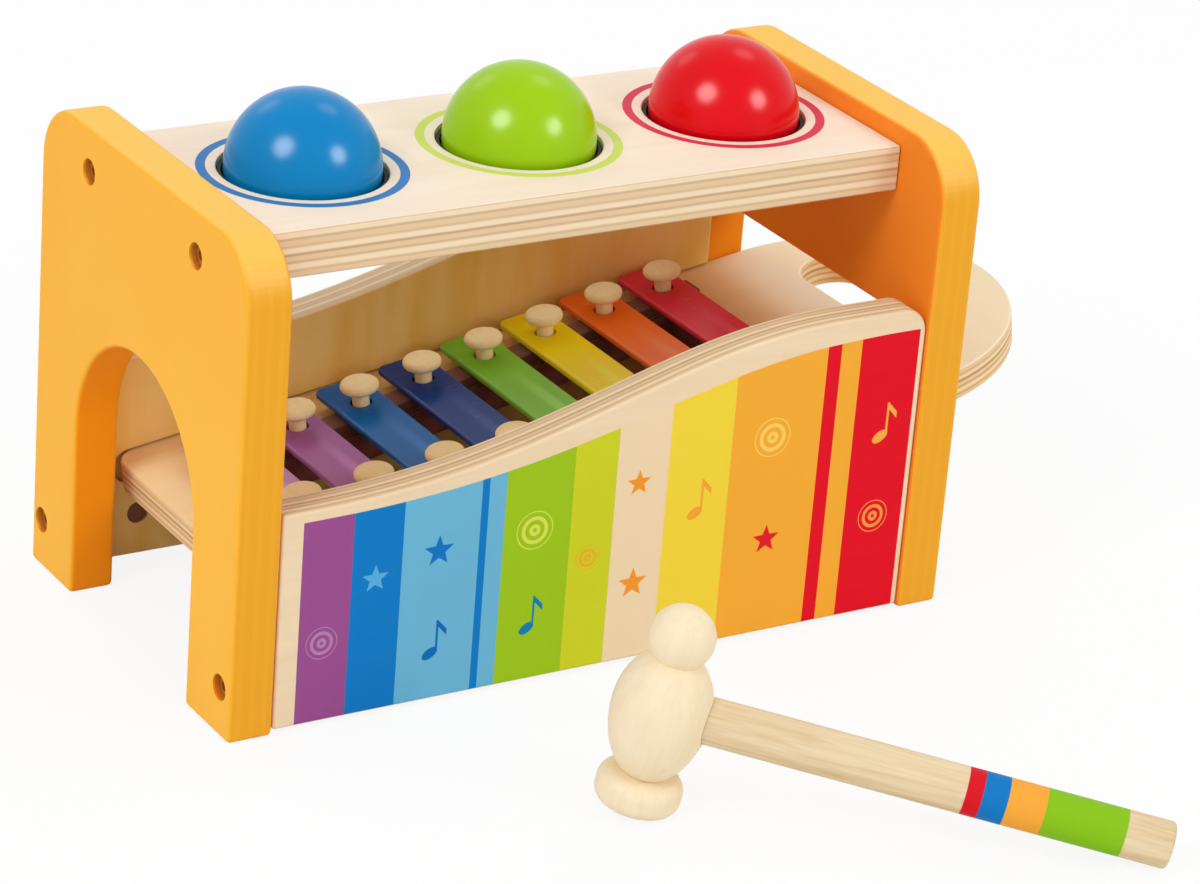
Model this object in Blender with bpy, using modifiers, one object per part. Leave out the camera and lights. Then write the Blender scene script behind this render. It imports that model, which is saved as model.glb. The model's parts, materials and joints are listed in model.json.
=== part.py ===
"""A wooden pounding bench: balls drop through the top board on to a sloping, slide-out xylophone.

Units are metres and +Z is up. The bench's own frame has x from the left end panel's outer face,
y from the panels' front edges and z from the floor. The tray's frame has u up the slope, y across
and w out of the tray's face. The mallet lies in front and has its own frame in the same way.
"""
from math import acos, asin, atan2, cos, pi, radians, sin, sqrt

import bmesh
import bpy
from mathutils import Matrix, Vector
from mathutils.geometry import interpolate_bezier

# Clearances, and how far a cutter passes the faces that it cuts
SEAT_GAP = 0.0003
CUT_OVERRUN = 0.003

# Bench as a whole
BENCH_LENGTH = 0.240
EASED_EDGE = 0.0011

# End panels
PANEL_DEPTH = 0.130
PANEL_HEIGHT = 0.147
PANEL_THICKNESS = 0.0140
PANEL_CORNER_RADIUS = 0.018
ARCH_RADIUS = 0.038
ARCH_SPRING_HEIGHT = 0.053
WINDOW_TOP = 0.090
WINDOW_CORNER_RADIUS = 0.006
WINDOW_FOOT_RADIUS = 0.0012

# Top board with its holes
BOARD_WIDTH = 0.084
BOARD_THICKNESS = 0.014
BOARD_BELOW_PANEL_TOP = 0.0057
HOLE_RADIUS = 0.0244
HOLE_PITCH = 0.0702
HOLE_EASED_EDGE = 0.0006

# Balls and the rings that grip them
BALL_RADIUS = 0.0225
BALL_ABOVE_BOARD = 0.0007
RING_LIP_RADIUS = 0.0020
RING_LIP_DROP = 0.0010
RING_TOP_SETBACK = 0.0012
RING_WALL = 0.0010
RING_BEAD = 0.0011
RING_BEAD_HEIGHT = 0.0036

# Front and back panels
SIDE_THICKNESS = 0.0115
SIDE_INSET = 0.0006
SIDE_BOTTOM = 0.0013
SIDE_CORNER_RADIUS = 0.008
WAVE_LOW = 0.0674
WAVE_LOW_BEHIND = 0.0660
WAVE_HIGH = 0.0986
WAVE_MIDDLE_X = 0.122
WAVE_CREST_X = 0.200
WAVE_SHIFT_BEHIND = 0.010
WAVE_SLOPE = 0.29
WAVE_MIDDLE_SHARE = 0.548
WAVE_LOW_HANDLE_SHARE = 0.42
WAVE_MIDDLE_HANDLE_SHARE = 0.35

# Xylophone tray
TRAY_SLOPE = radians(9.07)
TRAY_THICKNESS = 0.010
TRAY_WIDTH = 0.110
TRAY_LENGTH = 0.2756
TRAY_START_X = 0.0199
TRAY_START_HEIGHT = 0.0349
TRAY_CORNER_RADIUS = 0.009
TRAY_EASED_EDGE = 0.0009
TRAY_SIDE_CLEARANCE = 0.0005
GROOVE_PLAY = 0.0007
GROOVE_STOP_CLEARANCE = 0.0002
WINDOW_CLEARANCE = 0.0005
FINGER_SLOT_FROM_TIP = 0.0382
FINGER_SLOT_RADIUS = 0.0105
FINGER_SLOT_LENGTH = 0.0706

# Keys, their pegs and the strips that they rest on
KEY_COUNT = 8
KEY_PITCH = 0.0223
KEY_WIDTH = 0.016
KEY_THICKNESS = 0.0025
KEY_CORNER_RADIUS = 0.0022
KEY_EASED_EDGE = 0.0006
KEY_BEYOND_PEG = 0.0155
KEY_HOLE_CLEARANCE = 0.0008
FIRST_KEY_U = 0.0251
FIRST_PEG_HALF_SPACING = 0.0223
PEG_SPACING_STEP = 0.00193
PEG_HEAD_RADIUS = 0.0059
PEG_HEAD_THICKNESS = 0.0037
PEG_HEAD_DOME = 0.0006
PEG_HEAD_UNDERSIDE = 0.0110
PEG_STEM_RADIUS = 0.0026
PEG_DEPTH = 0.0065
STRIP_WIDTH = 0.0085
STRIP_THICKNESS = 0.0038
STRIP_BEYOND_KEYS = 0.0035
RESONATOR_BESIDE_STRIP = 0.0012

# Knock-down fasteners: a socket-head screw and a barrel nut
SCREW_HEAD_RADIUS = 0.0034
SCREW_HEAD_HEIGHT = 0.0034
SCREW_HEAD_ROUND = 0.0004
SCREW_SHANK_RADIUS = 0.0020
SCREW_SOCKET_RADIUS = 0.0019
SCREW_SOCKET_DEPTH = 0.0018
SCREW_PAST_NUT = 0.0050
COUNTERBORE_RADIUS = 0.0039
COUNTERBORE_DEPTH = 0.0055
SCREW_HOLE_CLEARANCE = 0.0004
BOARD_SCREW_FROM_EDGE = 0.0083
SIDE_SCREW_HEIGHT = 0.0151
NUT_RADIUS = 0.0032
NUT_FROM_PANEL = 0.0147
NUT_SETBACK = 0.0006
NUT_SKIN = 0.0022

# Mallet
MALLET_AT = Vector((0.0864, -0.0756, 0.0))
MALLET_HEADING = radians(-36.5)
MALLET_FACE_RADIUS = 0.0122
MALLET_FACE_THICKNESS = 0.0100
MALLET_FACE_ROUND = 0.0038
MALLET_BODY_RADIUS = 0.0140
MALLET_BODY_HEIGHT = 0.0300
MALLET_FOOT_NECK_RADIUS = 0.00645
MALLET_BODY_ABOVE = 0.0186
MALLET_TOP_NECK_RADIUS = 0.0069
MALLET_KNOB_RADIUS = 0.00935
HANDLE_RADIUS = 0.0067
HANDLE_ABOVE_BODY_MIDDLE = 0.0002
HANDLE_LENGTH = 0.1442
HANDLE_PAST_AXIS = 0.0040
HANDLE_END_ROUND = 0.0012

# Facets
CORNER_STEPS = 5
SHOULDER_STEPS = 7
KEY_STEPS = 2
ARCH_STEPS = 18
HOLE_STEPS = 24
WAVE_STEPS = 7
TRAY_END_STEPS = 24
SLOT_END_STEPS = 8
BALL_SEGMENTS = 20
RING_SEGMENTS = 20
RING_LIP_STEPS = 4
PEG_SEGMENTS = 9
PEG_RIM_STEPS = 4
SCREW_SEGMENTS = 10
NUT_SEGMENTS = 12
SMALL_HOLE_STEPS = 8
MALLET_SEGMENTS = 20
KNOB_STEPS = 7
BODY_ABOVE_STEPS = 4
BODY_BELOW_STEPS = 5
FACE_ROUND_STEPS = 3
HANDLE_SEGMENTS = 20
HANDLE_END_STEPS = 2
SOCKET_SIDES = 6
SMOOTH_ANGLE = radians(34)

# Colours, as linear values, with roughness
PANEL_ORANGE = ((0.93, 0.46, 0.045, 1.0), 0.42)
PALE_PLYWOOD = ((0.86, 0.70, 0.48, 1.0), 0.50)
TRAY_PLYWOOD = ((0.83, 0.65, 0.42, 1.0), 0.52)
PALE_WOOD = ((0.87, 0.75, 0.55, 1.0), 0.48)
PEG_WOOD = ((0.80, 0.58, 0.36, 1.0), 0.50)
FELT = ((0.55, 0.40, 0.24, 1.0), 0.95)
RUBBER = ((0.015, 0.014, 0.013, 1.0), 0.70)
STEEL = ((0.42, 0.36, 0.30, 1.0), 0.38)
BALL_COLOURS = {
    "blue": (0.0, 0.21, 0.58, 1.0),
    "green": (0.35, 0.60, 0.01, 1.0),
    "red": (0.77, 0.0, 0.01, 1.0),
}
KEY_COLOURS = (
    (0.33, 0.12, 0.36, 1.0),
    (0.10, 0.08, 0.34, 1.0),
    (0.0, 0.16, 0.45, 1.0),
    (0.03, 0.05, 0.24, 1.0),
    (0.14, 0.42, 0.04, 1.0),
    (0.72, 0.60, 0.01, 1.0),
    (0.80, 0.20, 0.02, 1.0),
    (0.55, 0.0, 0.02, 1.0),
)
GLOSS_ROUGHNESS = 0.16
KEY_ROUGHNESS = 0.30
METALLIC = 1.0
NOT_METALLIC = 0.0

# Places that follow from the sizes above
MIDDLE_Y = PANEL_DEPTH / 2
INNER_LEFT = PANEL_THICKNESS
INNER_RIGHT = BENCH_LENGTH - PANEL_THICKNESS
BETWEEN_LEFT = INNER_LEFT + SEAT_GAP
BETWEEN_RIGHT = INNER_RIGHT - SEAT_GAP
BOARD_TOP = PANEL_HEIGHT - BOARD_BELOW_PANEL_TOP
BOARD_BOTTOM = BOARD_TOP - BOARD_THICKNESS
BOARD_MIDDLE = BOARD_BOTTOM + BOARD_THICKNESS / 2
BALL_HEIGHT = BOARD_TOP + BALL_ABOVE_BOARD
BOARD_SCREW_HALF_SPACING = BOARD_WIDTH / 2 - BOARD_SCREW_FROM_EDGE
SIDE_MIDDLE_FROM_EDGE = SIDE_INSET + SIDE_THICKNESS / 2
KEY_BOTTOM = STRIP_THICKNESS + 2 * SEAT_GAP
KEY_TOP = KEY_BOTTOM + KEY_THICKNESS
TRAY_TIP_X = TRAY_START_X + TRAY_LENGTH * cos(TRAY_SLOPE) + TRAY_THICKNESS * sin(TRAY_SLOPE)
TRAY_FRAME = Matrix.Translation((TRAY_START_X, MIDDLE_Y, TRAY_START_HEIGHT)) @ Matrix.Rotation(
    -TRAY_SLOPE, 4, "Y"
)
HANDLE_HEIGHT = MALLET_BODY_HEIGHT + HANDLE_ABOVE_BODY_MIDDLE
WELD_DISTANCE = 0.00001
UPRIGHT_ACROSS = Matrix(((0, 0, 1, 0), (1, 0, 0, 0), (0, 1, 0, 0), (0, 0, 0, 1)))
UPRIGHT_ALONG = Matrix(((1, 0, 0, 0), (0, 0, -1, 0), (0, 1, 0, 0), (0, 0, 0, 1)))


def mallet_tilt():
    """The angle at which the mallet's face rim and its handle's end both touch the floor."""
    rim = Vector((MALLET_FACE_RADIUS - MALLET_FACE_ROUND, MALLET_FACE_ROUND))
    end = Vector(
        (HANDLE_LENGTH - HANDLE_END_ROUND, HANDLE_HEIGHT - HANDLE_RADIUS + HANDLE_END_ROUND)
    )
    apart = end - rim
    return atan2(apart.y, apart.x) - asin((HANDLE_END_ROUND - MALLET_FACE_ROUND) / apart.length)


def mallet_frame():
    """The frame of the mallet at rest: x along the handle, z up the head, origin in its face."""
    tilt = mallet_tilt()
    rim_offset = MALLET_FACE_RADIUS - MALLET_FACE_ROUND
    lift = MALLET_FACE_ROUND + rim_offset * sin(tilt) - MALLET_FACE_ROUND * cos(tilt)
    place = Matrix.Translation(MALLET_AT + Vector((0, 0, lift)))
    return place @ Matrix.Rotation(MALLET_HEADING, 4, "Z") @ Matrix.Rotation(tilt, 4, "Y")


def origin_offset():
    """The middle of the bench and the mallet together, on the floor, in the bench's frame."""
    frame = mallet_frame()
    along = frame.to_3x3() @ Vector((1, 0, 0))
    end_centre = frame @ Vector((HANDLE_LENGTH - HANDLE_END_ROUND, 0, HANDLE_HEIGHT))
    spread = (HANDLE_RADIUS - HANDLE_END_ROUND) * sqrt(1 - along.y ** 2) + HANDLE_END_ROUND
    return Vector((TRAY_TIP_X / 2, (PANEL_DEPTH + end_centre.y - spread) / 2, 0))


def clear_scene():
    for obj in list(bpy.data.objects):
        bpy.data.objects.remove(obj)


def collection(name):
    made = bpy.data.collections.new(name)
    bpy.context.scene.collection.children.link(made)
    return made


def material(name, colour, roughness, metallic=NOT_METALLIC):
    made = bpy.data.materials.new(name)
    made.use_nodes = True
    made.diffuse_color = colour
    shader = made.node_tree.nodes["Principled BSDF"]
    shader.inputs["Base Color"].default_value = colour
    shader.inputs["Roughness"].default_value = roughness
    shader.inputs["Metallic"].default_value = metallic
    return made


def frame_empty(name, matrix, parent=None):
    empty = bpy.data.objects.new(name, None)
    pieces.objects.link(empty)
    empty.parent = parent
    empty.matrix_basis = matrix
    return empty


def arc(centre_x, centre_y, radius, start, end, steps):
    """Points on an arc, both ends included, with the angles in radians."""
    angles = [start + (end - start) * step / steps for step in range(steps + 1)]
    return [(centre_x + radius * cos(a), centre_y + radius * sin(a)) for a in angles]


def circle(centre_x, centre_y, radius, steps):
    return arc(centre_x, centre_y, radius, 0, 2 * pi, steps)[:-1]


def rounded_rectangle(low, high, radius, foot_radius, steps):
    """A rectangle with one radius at its two top corners and one at its two bottom corners."""
    points = []
    corners = ((high[0], high[1]), (low[0], high[1]), (low[0], low[1]), (high[0], low[1]))
    for turn, (x, y) in enumerate(corners):
        round_off = radius if y == high[1] else foot_radius
        centre_x = x - round_off if x == high[0] else x + round_off
        centre_y = y - round_off if y == high[1] else y + round_off
        points += arc(centre_x, centre_y, round_off, turn * pi / 2, (turn + 1) * pi / 2, steps)
    return points


def racetrack(centre_x, centre_y, radius, length_y, steps):
    """A slot with round ends that runs along y."""
    reach = length_y / 2 - radius
    return arc(centre_x, centre_y + reach, radius, 0, pi, steps) + arc(
        centre_x, centre_y - reach, radius, pi, 2 * pi, steps
    )


def plate_mesh(name, loops, thickness):
    """A flat outline with its holes, extruded each way from its own plane, as a welded mesh."""
    curve = bpy.data.curves.new(name, "CURVE")
    curve.dimensions = "2D"
    curve.fill_mode = "BOTH"
    curve.extrude = thickness / 2
    for loop in loops:
        spline = curve.splines.new("POLY")
        spline.points.add(len(loop) - 1)
        for point, (x, y) in zip(spline.points, loop):
            point.co = (x, y, 0, 1)
        spline.use_cyclic_u = True
    outline = bpy.data.objects.new(name + "_outline", curve)
    bpy.context.scene.collection.objects.link(outline)
    graph = bpy.context.evaluated_depsgraph_get()
    mesh = bpy.data.meshes.new_from_object(outline.evaluated_get(graph))
    bpy.data.objects.remove(outline)
    bpy.data.curves.remove(curve)
    welded = bmesh.new()
    welded.from_mesh(mesh)
    bmesh.ops.remove_doubles(welded, verts=welded.verts, dist=WELD_DISTANCE)
    bmesh.ops.recalc_face_normals(welded, faces=welded.faces)
    welded.to_mesh(mesh)
    welded.free()
    mesh.name = name
    return mesh


def profile_mesh(name, points, closed=False):
    """A profile in the x, z plane for a Screw modifier to turn about z."""
    mesh = bpy.data.meshes.new(name)
    edges = [(i, i + 1) for i in range(len(points) - 1)]
    if closed:
        edges.append((len(points) - 1, 0))
    mesh.from_pydata([(x, 0, z) for x, z in points], edges, [])
    return mesh


def add_piece(name, mesh, finish, matrix, parent):
    piece = bpy.data.objects.new(name, mesh)
    pieces.objects.link(piece)
    if not mesh.materials:
        mesh.materials.append(finish)
    piece.parent = parent
    piece.matrix_basis = matrix
    return piece


def add_cutter(name, mesh, matrix, parent):
    cutter = bpy.data.objects.new(name, mesh)
    cutters.objects.link(cutter)
    cutter.hide_render = True
    cutter.display_type = "WIRE"
    cutter.parent = parent
    cutter.matrix_basis = matrix
    return cutter


def turn(piece, segments):
    """Turns a profile about its own z axis into a round piece."""
    screw = piece.modifiers.new("turned", "SCREW")
    screw.steps = segments
    screw.render_steps = segments
    screw.use_merge_vertices = True
    screw.merge_threshold = WELD_DISTANCE
    screw.use_smooth_shade = True


def ease(piece, width, segments=1):
    bevel = piece.modifiers.new("eased_edges", "BEVEL")
    bevel.width = width
    bevel.segments = segments
    bevel.limit_method = "ANGLE"
    bevel.angle_limit = SMOOTH_ANGLE
    return bevel


def cut(piece, cutter):
    boolean = piece.modifiers.new("cut_" + cutter.name, "BOOLEAN")
    boolean.operation = "DIFFERENCE"
    boolean.solver = "EXACT"
    boolean.object = cutter


def cylinder_mesh(name, radius, length, sides):
    """A closed cylinder whose foot is at its own origin and that runs up z."""
    made = bmesh.new()
    bmesh.ops.create_cone(
        made,
        cap_ends=True,
        segments=sides,
        radius1=radius,
        radius2=radius,
        depth=length,
        matrix=Matrix.Translation((0, 0, length / 2)),
    )
    mesh = bpy.data.meshes.new(name)
    made.to_mesh(mesh)
    made.free()
    return mesh


def joined_cutter(name, shapes, parent):
    """One cutter from several separate closed shapes, each a mesh and its place."""
    made = bmesh.new()
    for mesh, matrix in shapes:
        first = len(made.verts)
        made.from_mesh(mesh)
        made.verts.ensure_lookup_table()
        bmesh.ops.transform(made, matrix=matrix, verts=made.verts[first:])
    mesh = bpy.data.meshes.new(name)
    made.to_mesh(mesh)
    made.free()
    return add_cutter(name, mesh, Matrix.Identity(4), parent)


def wave_heights(low, shift):
    """The top edge of a front or back panel, from its left end to the flat crest."""
    middle = Vector((WAVE_MIDDLE_X + shift, low + (WAVE_HIGH - low) * WAVE_MIDDLE_SHARE, 0))
    start = Vector((BETWEEN_LEFT, low, 0))
    crest = Vector((WAVE_CREST_X + shift, WAVE_HIGH, 0))
    steepness = Vector((1, WAVE_SLOPE, 0))
    before = (middle.x - start.x) * WAVE_LOW_HANDLE_SHARE
    into = (middle.x - start.x) * WAVE_MIDDLE_HANDLE_SHARE
    out_of = (crest.x - middle.x) * WAVE_LOW_HANDLE_SHARE
    after = (crest.x - middle.x) * WAVE_MIDDLE_HANDLE_SHARE
    rise = interpolate_bezier(
        start,
        start + Vector((before, 0, 0)),
        middle - steepness * into,
        middle,
        WAVE_STEPS + 1,
    )
    top = interpolate_bezier(
        middle,
        middle + steepness * after,
        crest - Vector((out_of, 0, 0)),
        crest,
        WAVE_STEPS + 1,
    )
    return [(p.x, p.y) for p in rise] + [(p.x, p.y) for p in top[1:]]


def screw_places():
    """Each screw as a name, its y and its height, the same in both end panels."""
    places = []
    for side, sign in (("front", -1), ("back", 1)):
        y = MIDDLE_Y + sign * (MIDDLE_Y - SIDE_MIDDLE_FROM_EDGE)
        places.append((side + "_panel", y, SIDE_SCREW_HEIGHT))
        places.append((side + "_board", MIDDLE_Y + sign * BOARD_SCREW_HALF_SPACING, BOARD_MIDDLE))
    return places


def nut_x(end):
    return INNER_LEFT + NUT_FROM_PANEL if end == "left" else INNER_RIGHT - NUT_FROM_PANEL


def screw_frame(end, y, z):
    """A screw's frame: its z runs out of the end panel, from the counterbore's floor."""
    x = COUNTERBORE_DEPTH if end == "left" else BENCH_LENGTH - COUNTERBORE_DEPTH
    angle = -pi / 2 if end == "left" else pi / 2
    return Matrix.Translation((x, y, z)) @ Matrix.Rotation(angle, 4, "Y")


def shank_length():
    through_panel = PANEL_THICKNESS - COUNTERBORE_DEPTH
    return through_panel + NUT_FROM_PANEL + SCREW_PAST_NUT


def end_panel_holes(end):
    """Two cutters, because a counterbore and its screw hole overlap."""
    counterbores = []
    screw_holes = []
    deep = PANEL_THICKNESS - COUNTERBORE_DEPTH + CUT_OVERRUN
    for _, y, z in screw_places():
        frame = screw_frame(end, y, z)
        wide = cylinder_mesh(
            "counterbore", COUNTERBORE_RADIUS, COUNTERBORE_DEPTH + CUT_OVERRUN, 2 * SCREW_SEGMENTS
        )
        counterbores.append((wide, frame))
        narrow = cylinder_mesh(
            "screw_hole",
            SCREW_SHANK_RADIUS + SCREW_HOLE_CLEARANCE,
            deep + CUT_OVERRUN,
            SCREW_SEGMENTS,
        )
        screw_holes.append((narrow, frame @ Matrix.Translation((0, 0, -deep))))
    return (
        joined_cutter(end + "_counterbores", counterbores, bench),
        joined_cutter(end + "_screw_holes", screw_holes, bench),
    )


def make_end_panels():
    finish = material("panel_orange", *PANEL_ORANGE)
    top_right = arc(
        PANEL_DEPTH - PANEL_CORNER_RADIUS,
        PANEL_HEIGHT - PANEL_CORNER_RADIUS,
        PANEL_CORNER_RADIUS,
        0,
        pi / 2,
        SHOULDER_STEPS,
    )
    top_left = arc(
        PANEL_CORNER_RADIUS,
        PANEL_HEIGHT - PANEL_CORNER_RADIUS,
        PANEL_CORNER_RADIUS,
        pi / 2,
        pi,
        SHOULDER_STEPS,
    )
    shoulders = [(PANEL_DEPTH, 0)] + top_right + top_left + [(0, 0)]
    arch = arc(MIDDLE_Y, ARCH_SPRING_HEIGHT, ARCH_RADIUS, pi, 0, ARCH_STEPS)
    left_outline = shoulders + [(MIDDLE_Y - ARCH_RADIUS, 0)] + arch + [(MIDDLE_Y + ARCH_RADIUS, 0)]
    half_window = TRAY_WIDTH / 2 + TRAY_SIDE_CLEARANCE
    window = rounded_rectangle(
        (MIDDLE_Y - half_window, window_bottom()),
        (MIDDLE_Y + half_window, WINDOW_TOP),
        WINDOW_CORNER_RADIUS,
        WINDOW_FOOT_RADIUS,
        CORNER_STEPS,
    )
    for end, loops, middle in (
        ("left", [left_outline], PANEL_THICKNESS / 2),
        ("right", [shoulders, window], BENCH_LENGTH - PANEL_THICKNESS / 2),
    ):
        mesh = plate_mesh(end + "_end_panel", loops, PANEL_THICKNESS)
        place = Matrix.Translation((middle, 0, 0)) @ UPRIGHT_ACROSS
        panel = add_piece(end + "_end_panel", mesh, finish, place, bench)
        ease(panel, EASED_EDGE)
        for cutter in end_panel_holes(end):
            cut(panel, cutter)


def window_bottom():
    """Just under the tray's lowest part inside the right end panel."""
    along = (INNER_RIGHT - TRAY_START_X) / cos(TRAY_SLOPE)
    face = TRAY_START_HEIGHT + along * sin(TRAY_SLOPE)
    return face - TRAY_THICKNESS / cos(TRAY_SLOPE) - WINDOW_CLEARANCE


def hole_centres():
    middle = BENCH_LENGTH / 2
    return [middle + step * HOLE_PITCH for step in (-1, 0, 1)]


def board_cutters():
    screws = []
    nuts = []
    reach = NUT_FROM_PANEL + SCREW_PAST_NUT + SEAT_GAP + CUT_OVERRUN
    for end in ("left", "right"):
        for name, y, z in screw_places():
            if not name.endswith("board"):
                continue
            frame = screw_frame(end, y, z)
            to_inner_face = -(PANEL_THICKNESS - COUNTERBORE_DEPTH)
            hole = cylinder_mesh(
                "screw_hole",
                SCREW_SHANK_RADIUS + SCREW_HOLE_CLEARANCE,
                reach + CUT_OVERRUN,
                SCREW_SEGMENTS,
            )
            screws.append((hole, frame @ Matrix.Translation((0, 0, to_inner_face - reach))))
            nut = cylinder_mesh(
                "nut_hole",
                NUT_RADIUS + SEAT_GAP,
                BOARD_THICKNESS - NUT_SKIN + CUT_OVERRUN,
                NUT_SEGMENTS,
            )
            nuts.append((nut, Matrix.Translation((nut_x(end), y, BOARD_BOTTOM - CUT_OVERRUN))))
    return (
        joined_cutter("board_screw_holes", screws, bench),
        joined_cutter("board_nut_holes", nuts, bench),
    )


def ring_cutter():
    """The shallow grooves in the walls of the board's holes that hold the rings' beads."""
    shapes = []
    for x in hole_centres():
        bead = bmesh.new()
        bmesh.ops.create_cone(
            bead,
            cap_ends=True,
            segments=HOLE_STEPS,
            radius1=HOLE_RADIUS + RING_BEAD + SEAT_GAP,
            radius2=HOLE_RADIUS + RING_BEAD + SEAT_GAP,
            depth=RING_BEAD_HEIGHT + 2 * SEAT_GAP,
        )
        mesh = bpy.data.meshes.new("ring_groove")
        bead.to_mesh(mesh)
        bead.free()
        shapes.append((mesh, Matrix.Translation((x, MIDDLE_Y, BOARD_MIDDLE))))
    return joined_cutter("ring_grooves", shapes, bench)


def make_top_board():
    low = (BETWEEN_LEFT, MIDDLE_Y - BOARD_WIDTH / 2)
    high = (BETWEEN_RIGHT, MIDDLE_Y + BOARD_WIDTH / 2)
    outline = [low, (high[0], low[1]), high, (low[0], high[1])]
    holes = [circle(x, MIDDLE_Y, HOLE_RADIUS, HOLE_STEPS) for x in hole_centres()]
    mesh = plate_mesh("top_board", [outline] + holes, BOARD_THICKNESS)
    board = add_piece(
        "top_board",
        mesh,
        material("board_plywood", *PALE_PLYWOOD),
        Matrix.Translation((0, 0, BOARD_MIDDLE)),
        bench,
    )
    ease(board, HOLE_EASED_EDGE)
    cut(board, ring_cutter())
    for cutter in board_cutters():
        cut(board, cutter)


def ring_profile():
    """The section of a grip ring about its ball's axis, outer side first, top to bottom."""
    outer = HOLE_RADIUS - SEAT_GAP
    top = BOARD_THICKNESS / 2 - RING_TOP_SETBACK
    bead = RING_BEAD_HEIGHT / 2
    lip_height = -RING_LIP_DROP
    drop = BALL_HEIGHT - BOARD_MIDDLE - lip_height
    lip_centre = sqrt((BALL_RADIUS + RING_LIP_RADIUS + SEAT_GAP) ** 2 - drop ** 2)
    inner = outer - RING_WALL
    lip = arc(lip_centre, lip_height, RING_LIP_RADIUS, 4 * pi / 3, 2 * pi / 3, RING_LIP_STEPS)
    return (
        [(inner, top), (outer, top), (outer, bead), (outer + RING_BEAD, bead)]
        + [(outer + RING_BEAD, -bead), (outer, -bead), (outer, -top), (inner, -top)]
        + lip
    )


def make_balls_and_rings():
    rubber = material("ring_rubber", *RUBBER)
    for (colour, value), x in zip(BALL_COLOURS.items(), hole_centres()):
        ring = add_piece(
            "ball_ring_" + colour,
            profile_mesh("ball_ring_" + colour, ring_profile(), closed=True),
            rubber,
            Matrix.Translation((x, MIDDLE_Y, BOARD_MIDDLE)),
            bench,
        )
        turn(ring, RING_SEGMENTS)
        made = bmesh.new()
        bmesh.ops.create_uvsphere(
            made, u_segments=BALL_SEGMENTS, v_segments=BALL_SEGMENTS * 2 // 3, radius=BALL_RADIUS
        )
        mesh = bpy.data.meshes.new("ball_" + colour)
        made.to_mesh(mesh)
        made.free()
        mesh.shade_smooth()
        add_piece(
            "ball_" + colour,
            mesh,
            material("ball_" + colour, value, GLOSS_ROUGHNESS),
            Matrix.Translation((x, MIDDLE_Y, BALL_HEIGHT)),
            bench,
        )


def tray_path_cutter():
    """The room that the tray slides in: both panels' grooves, closed at the left by a round end."""
    height = TRAY_THICKNESS + SEAT_GAP + GROOVE_PLAY
    radius = height / 2
    middle_w = GROOVE_PLAY - radius
    inset = TRAY_SIDE_CLEARANCE + TRAY_WIDTH / 2 - (MIDDLE_Y - SIDE_INSET - SIDE_THICKNESS)
    in_groove = inset - TRAY_SIDE_CLEARANCE
    corner_start = TRAY_CORNER_RADIUS - sqrt(
        TRAY_CORNER_RADIUS ** 2 - (TRAY_CORNER_RADIUS - in_groove) ** 2
    )
    corner_w = max(abs(middle_w), abs(TRAY_THICKNESS + middle_w))
    centre_u = corner_start - GROOVE_STOP_CLEARANCE + sqrt(radius ** 2 - corner_w ** 2)
    past = TRAY_LENGTH
    outline = arc(centre_u, middle_w, radius, pi / 2, 3 * pi / 2, 2 * CORNER_STEPS)
    outline += [(past, middle_w - radius), (past, middle_w + radius)]
    mesh = plate_mesh("tray_path", [outline], TRAY_WIDTH + 2 * TRAY_SIDE_CLEARANCE)
    return add_cutter("tray_path", mesh, UPRIGHT_ALONG, tray_frame)


def side_cutters(side, sign):
    """The screw holes in a panel's ends and the nut holes in its inner face."""
    screws = []
    nuts = []
    reach = NUT_FROM_PANEL + SCREW_PAST_NUT + SEAT_GAP + CUT_OVERRUN
    inner_face = MIDDLE_Y + sign * (MIDDLE_Y - SIDE_INSET - SIDE_THICKNESS)
    for end in ("left", "right"):
        for name, y, z in screw_places():
            if name != side + "_panel":
                continue
            frame = screw_frame(end, y, z)
            to_inner_face = -(PANEL_THICKNESS - COUNTERBORE_DEPTH)
            hole = cylinder_mesh(
                "screw_hole",
                SCREW_SHANK_RADIUS + SCREW_HOLE_CLEARANCE,
                reach + CUT_OVERRUN,
                SCREW_SEGMENTS,
            )
            screws.append((hole, frame @ Matrix.Translation((0, 0, to_inner_face - reach))))
            nut = cylinder_mesh(
                "nut_hole",
                NUT_RADIUS + SEAT_GAP,
                SIDE_THICKNESS - NUT_SKIN + CUT_OVERRUN,
                NUT_SEGMENTS,
            )
            mouth = Matrix.Translation((nut_x(end), inner_face - sign * CUT_OVERRUN, z))
            nuts.append((nut, mouth @ Matrix.Rotation(-sign * pi / 2, 4, "X")))
    return (
        joined_cutter(side + "_screw_holes", screws, bench),
        joined_cutter(side + "_nut_holes", nuts, bench),
    )


def make_side_panels():
    finish = material("side_plywood", *PALE_PLYWOOD)
    groove = tray_path_cutter()
    for side, sign, low, shift in (
        ("front", -1, WAVE_LOW, 0),
        ("back", 1, WAVE_LOW_BEHIND, WAVE_SHIFT_BEHIND),
    ):
        corner = arc(
            BETWEEN_RIGHT - SIDE_CORNER_RADIUS,
            WAVE_HIGH - SIDE_CORNER_RADIUS,
            SIDE_CORNER_RADIUS,
            0,
            pi / 2,
            CORNER_STEPS,
        )
        wave = wave_heights(low, shift)
        wave.reverse()
        outline = [(BETWEEN_LEFT, SIDE_BOTTOM), (BETWEEN_RIGHT, SIDE_BOTTOM)] + corner + wave
        mesh = plate_mesh(side + "_panel", [outline], SIDE_THICKNESS)
        y = MIDDLE_Y + sign * (MIDDLE_Y - SIDE_MIDDLE_FROM_EDGE)
        place = Matrix.Translation((0, y, 0)) @ UPRIGHT_ALONG
        panel = add_piece(side + "_panel", mesh, finish, place, bench)
        ease(panel, EASED_EDGE)
        cut(panel, groove)
        for cutter in side_cutters(side, sign):
            cut(panel, cutter)


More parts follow.
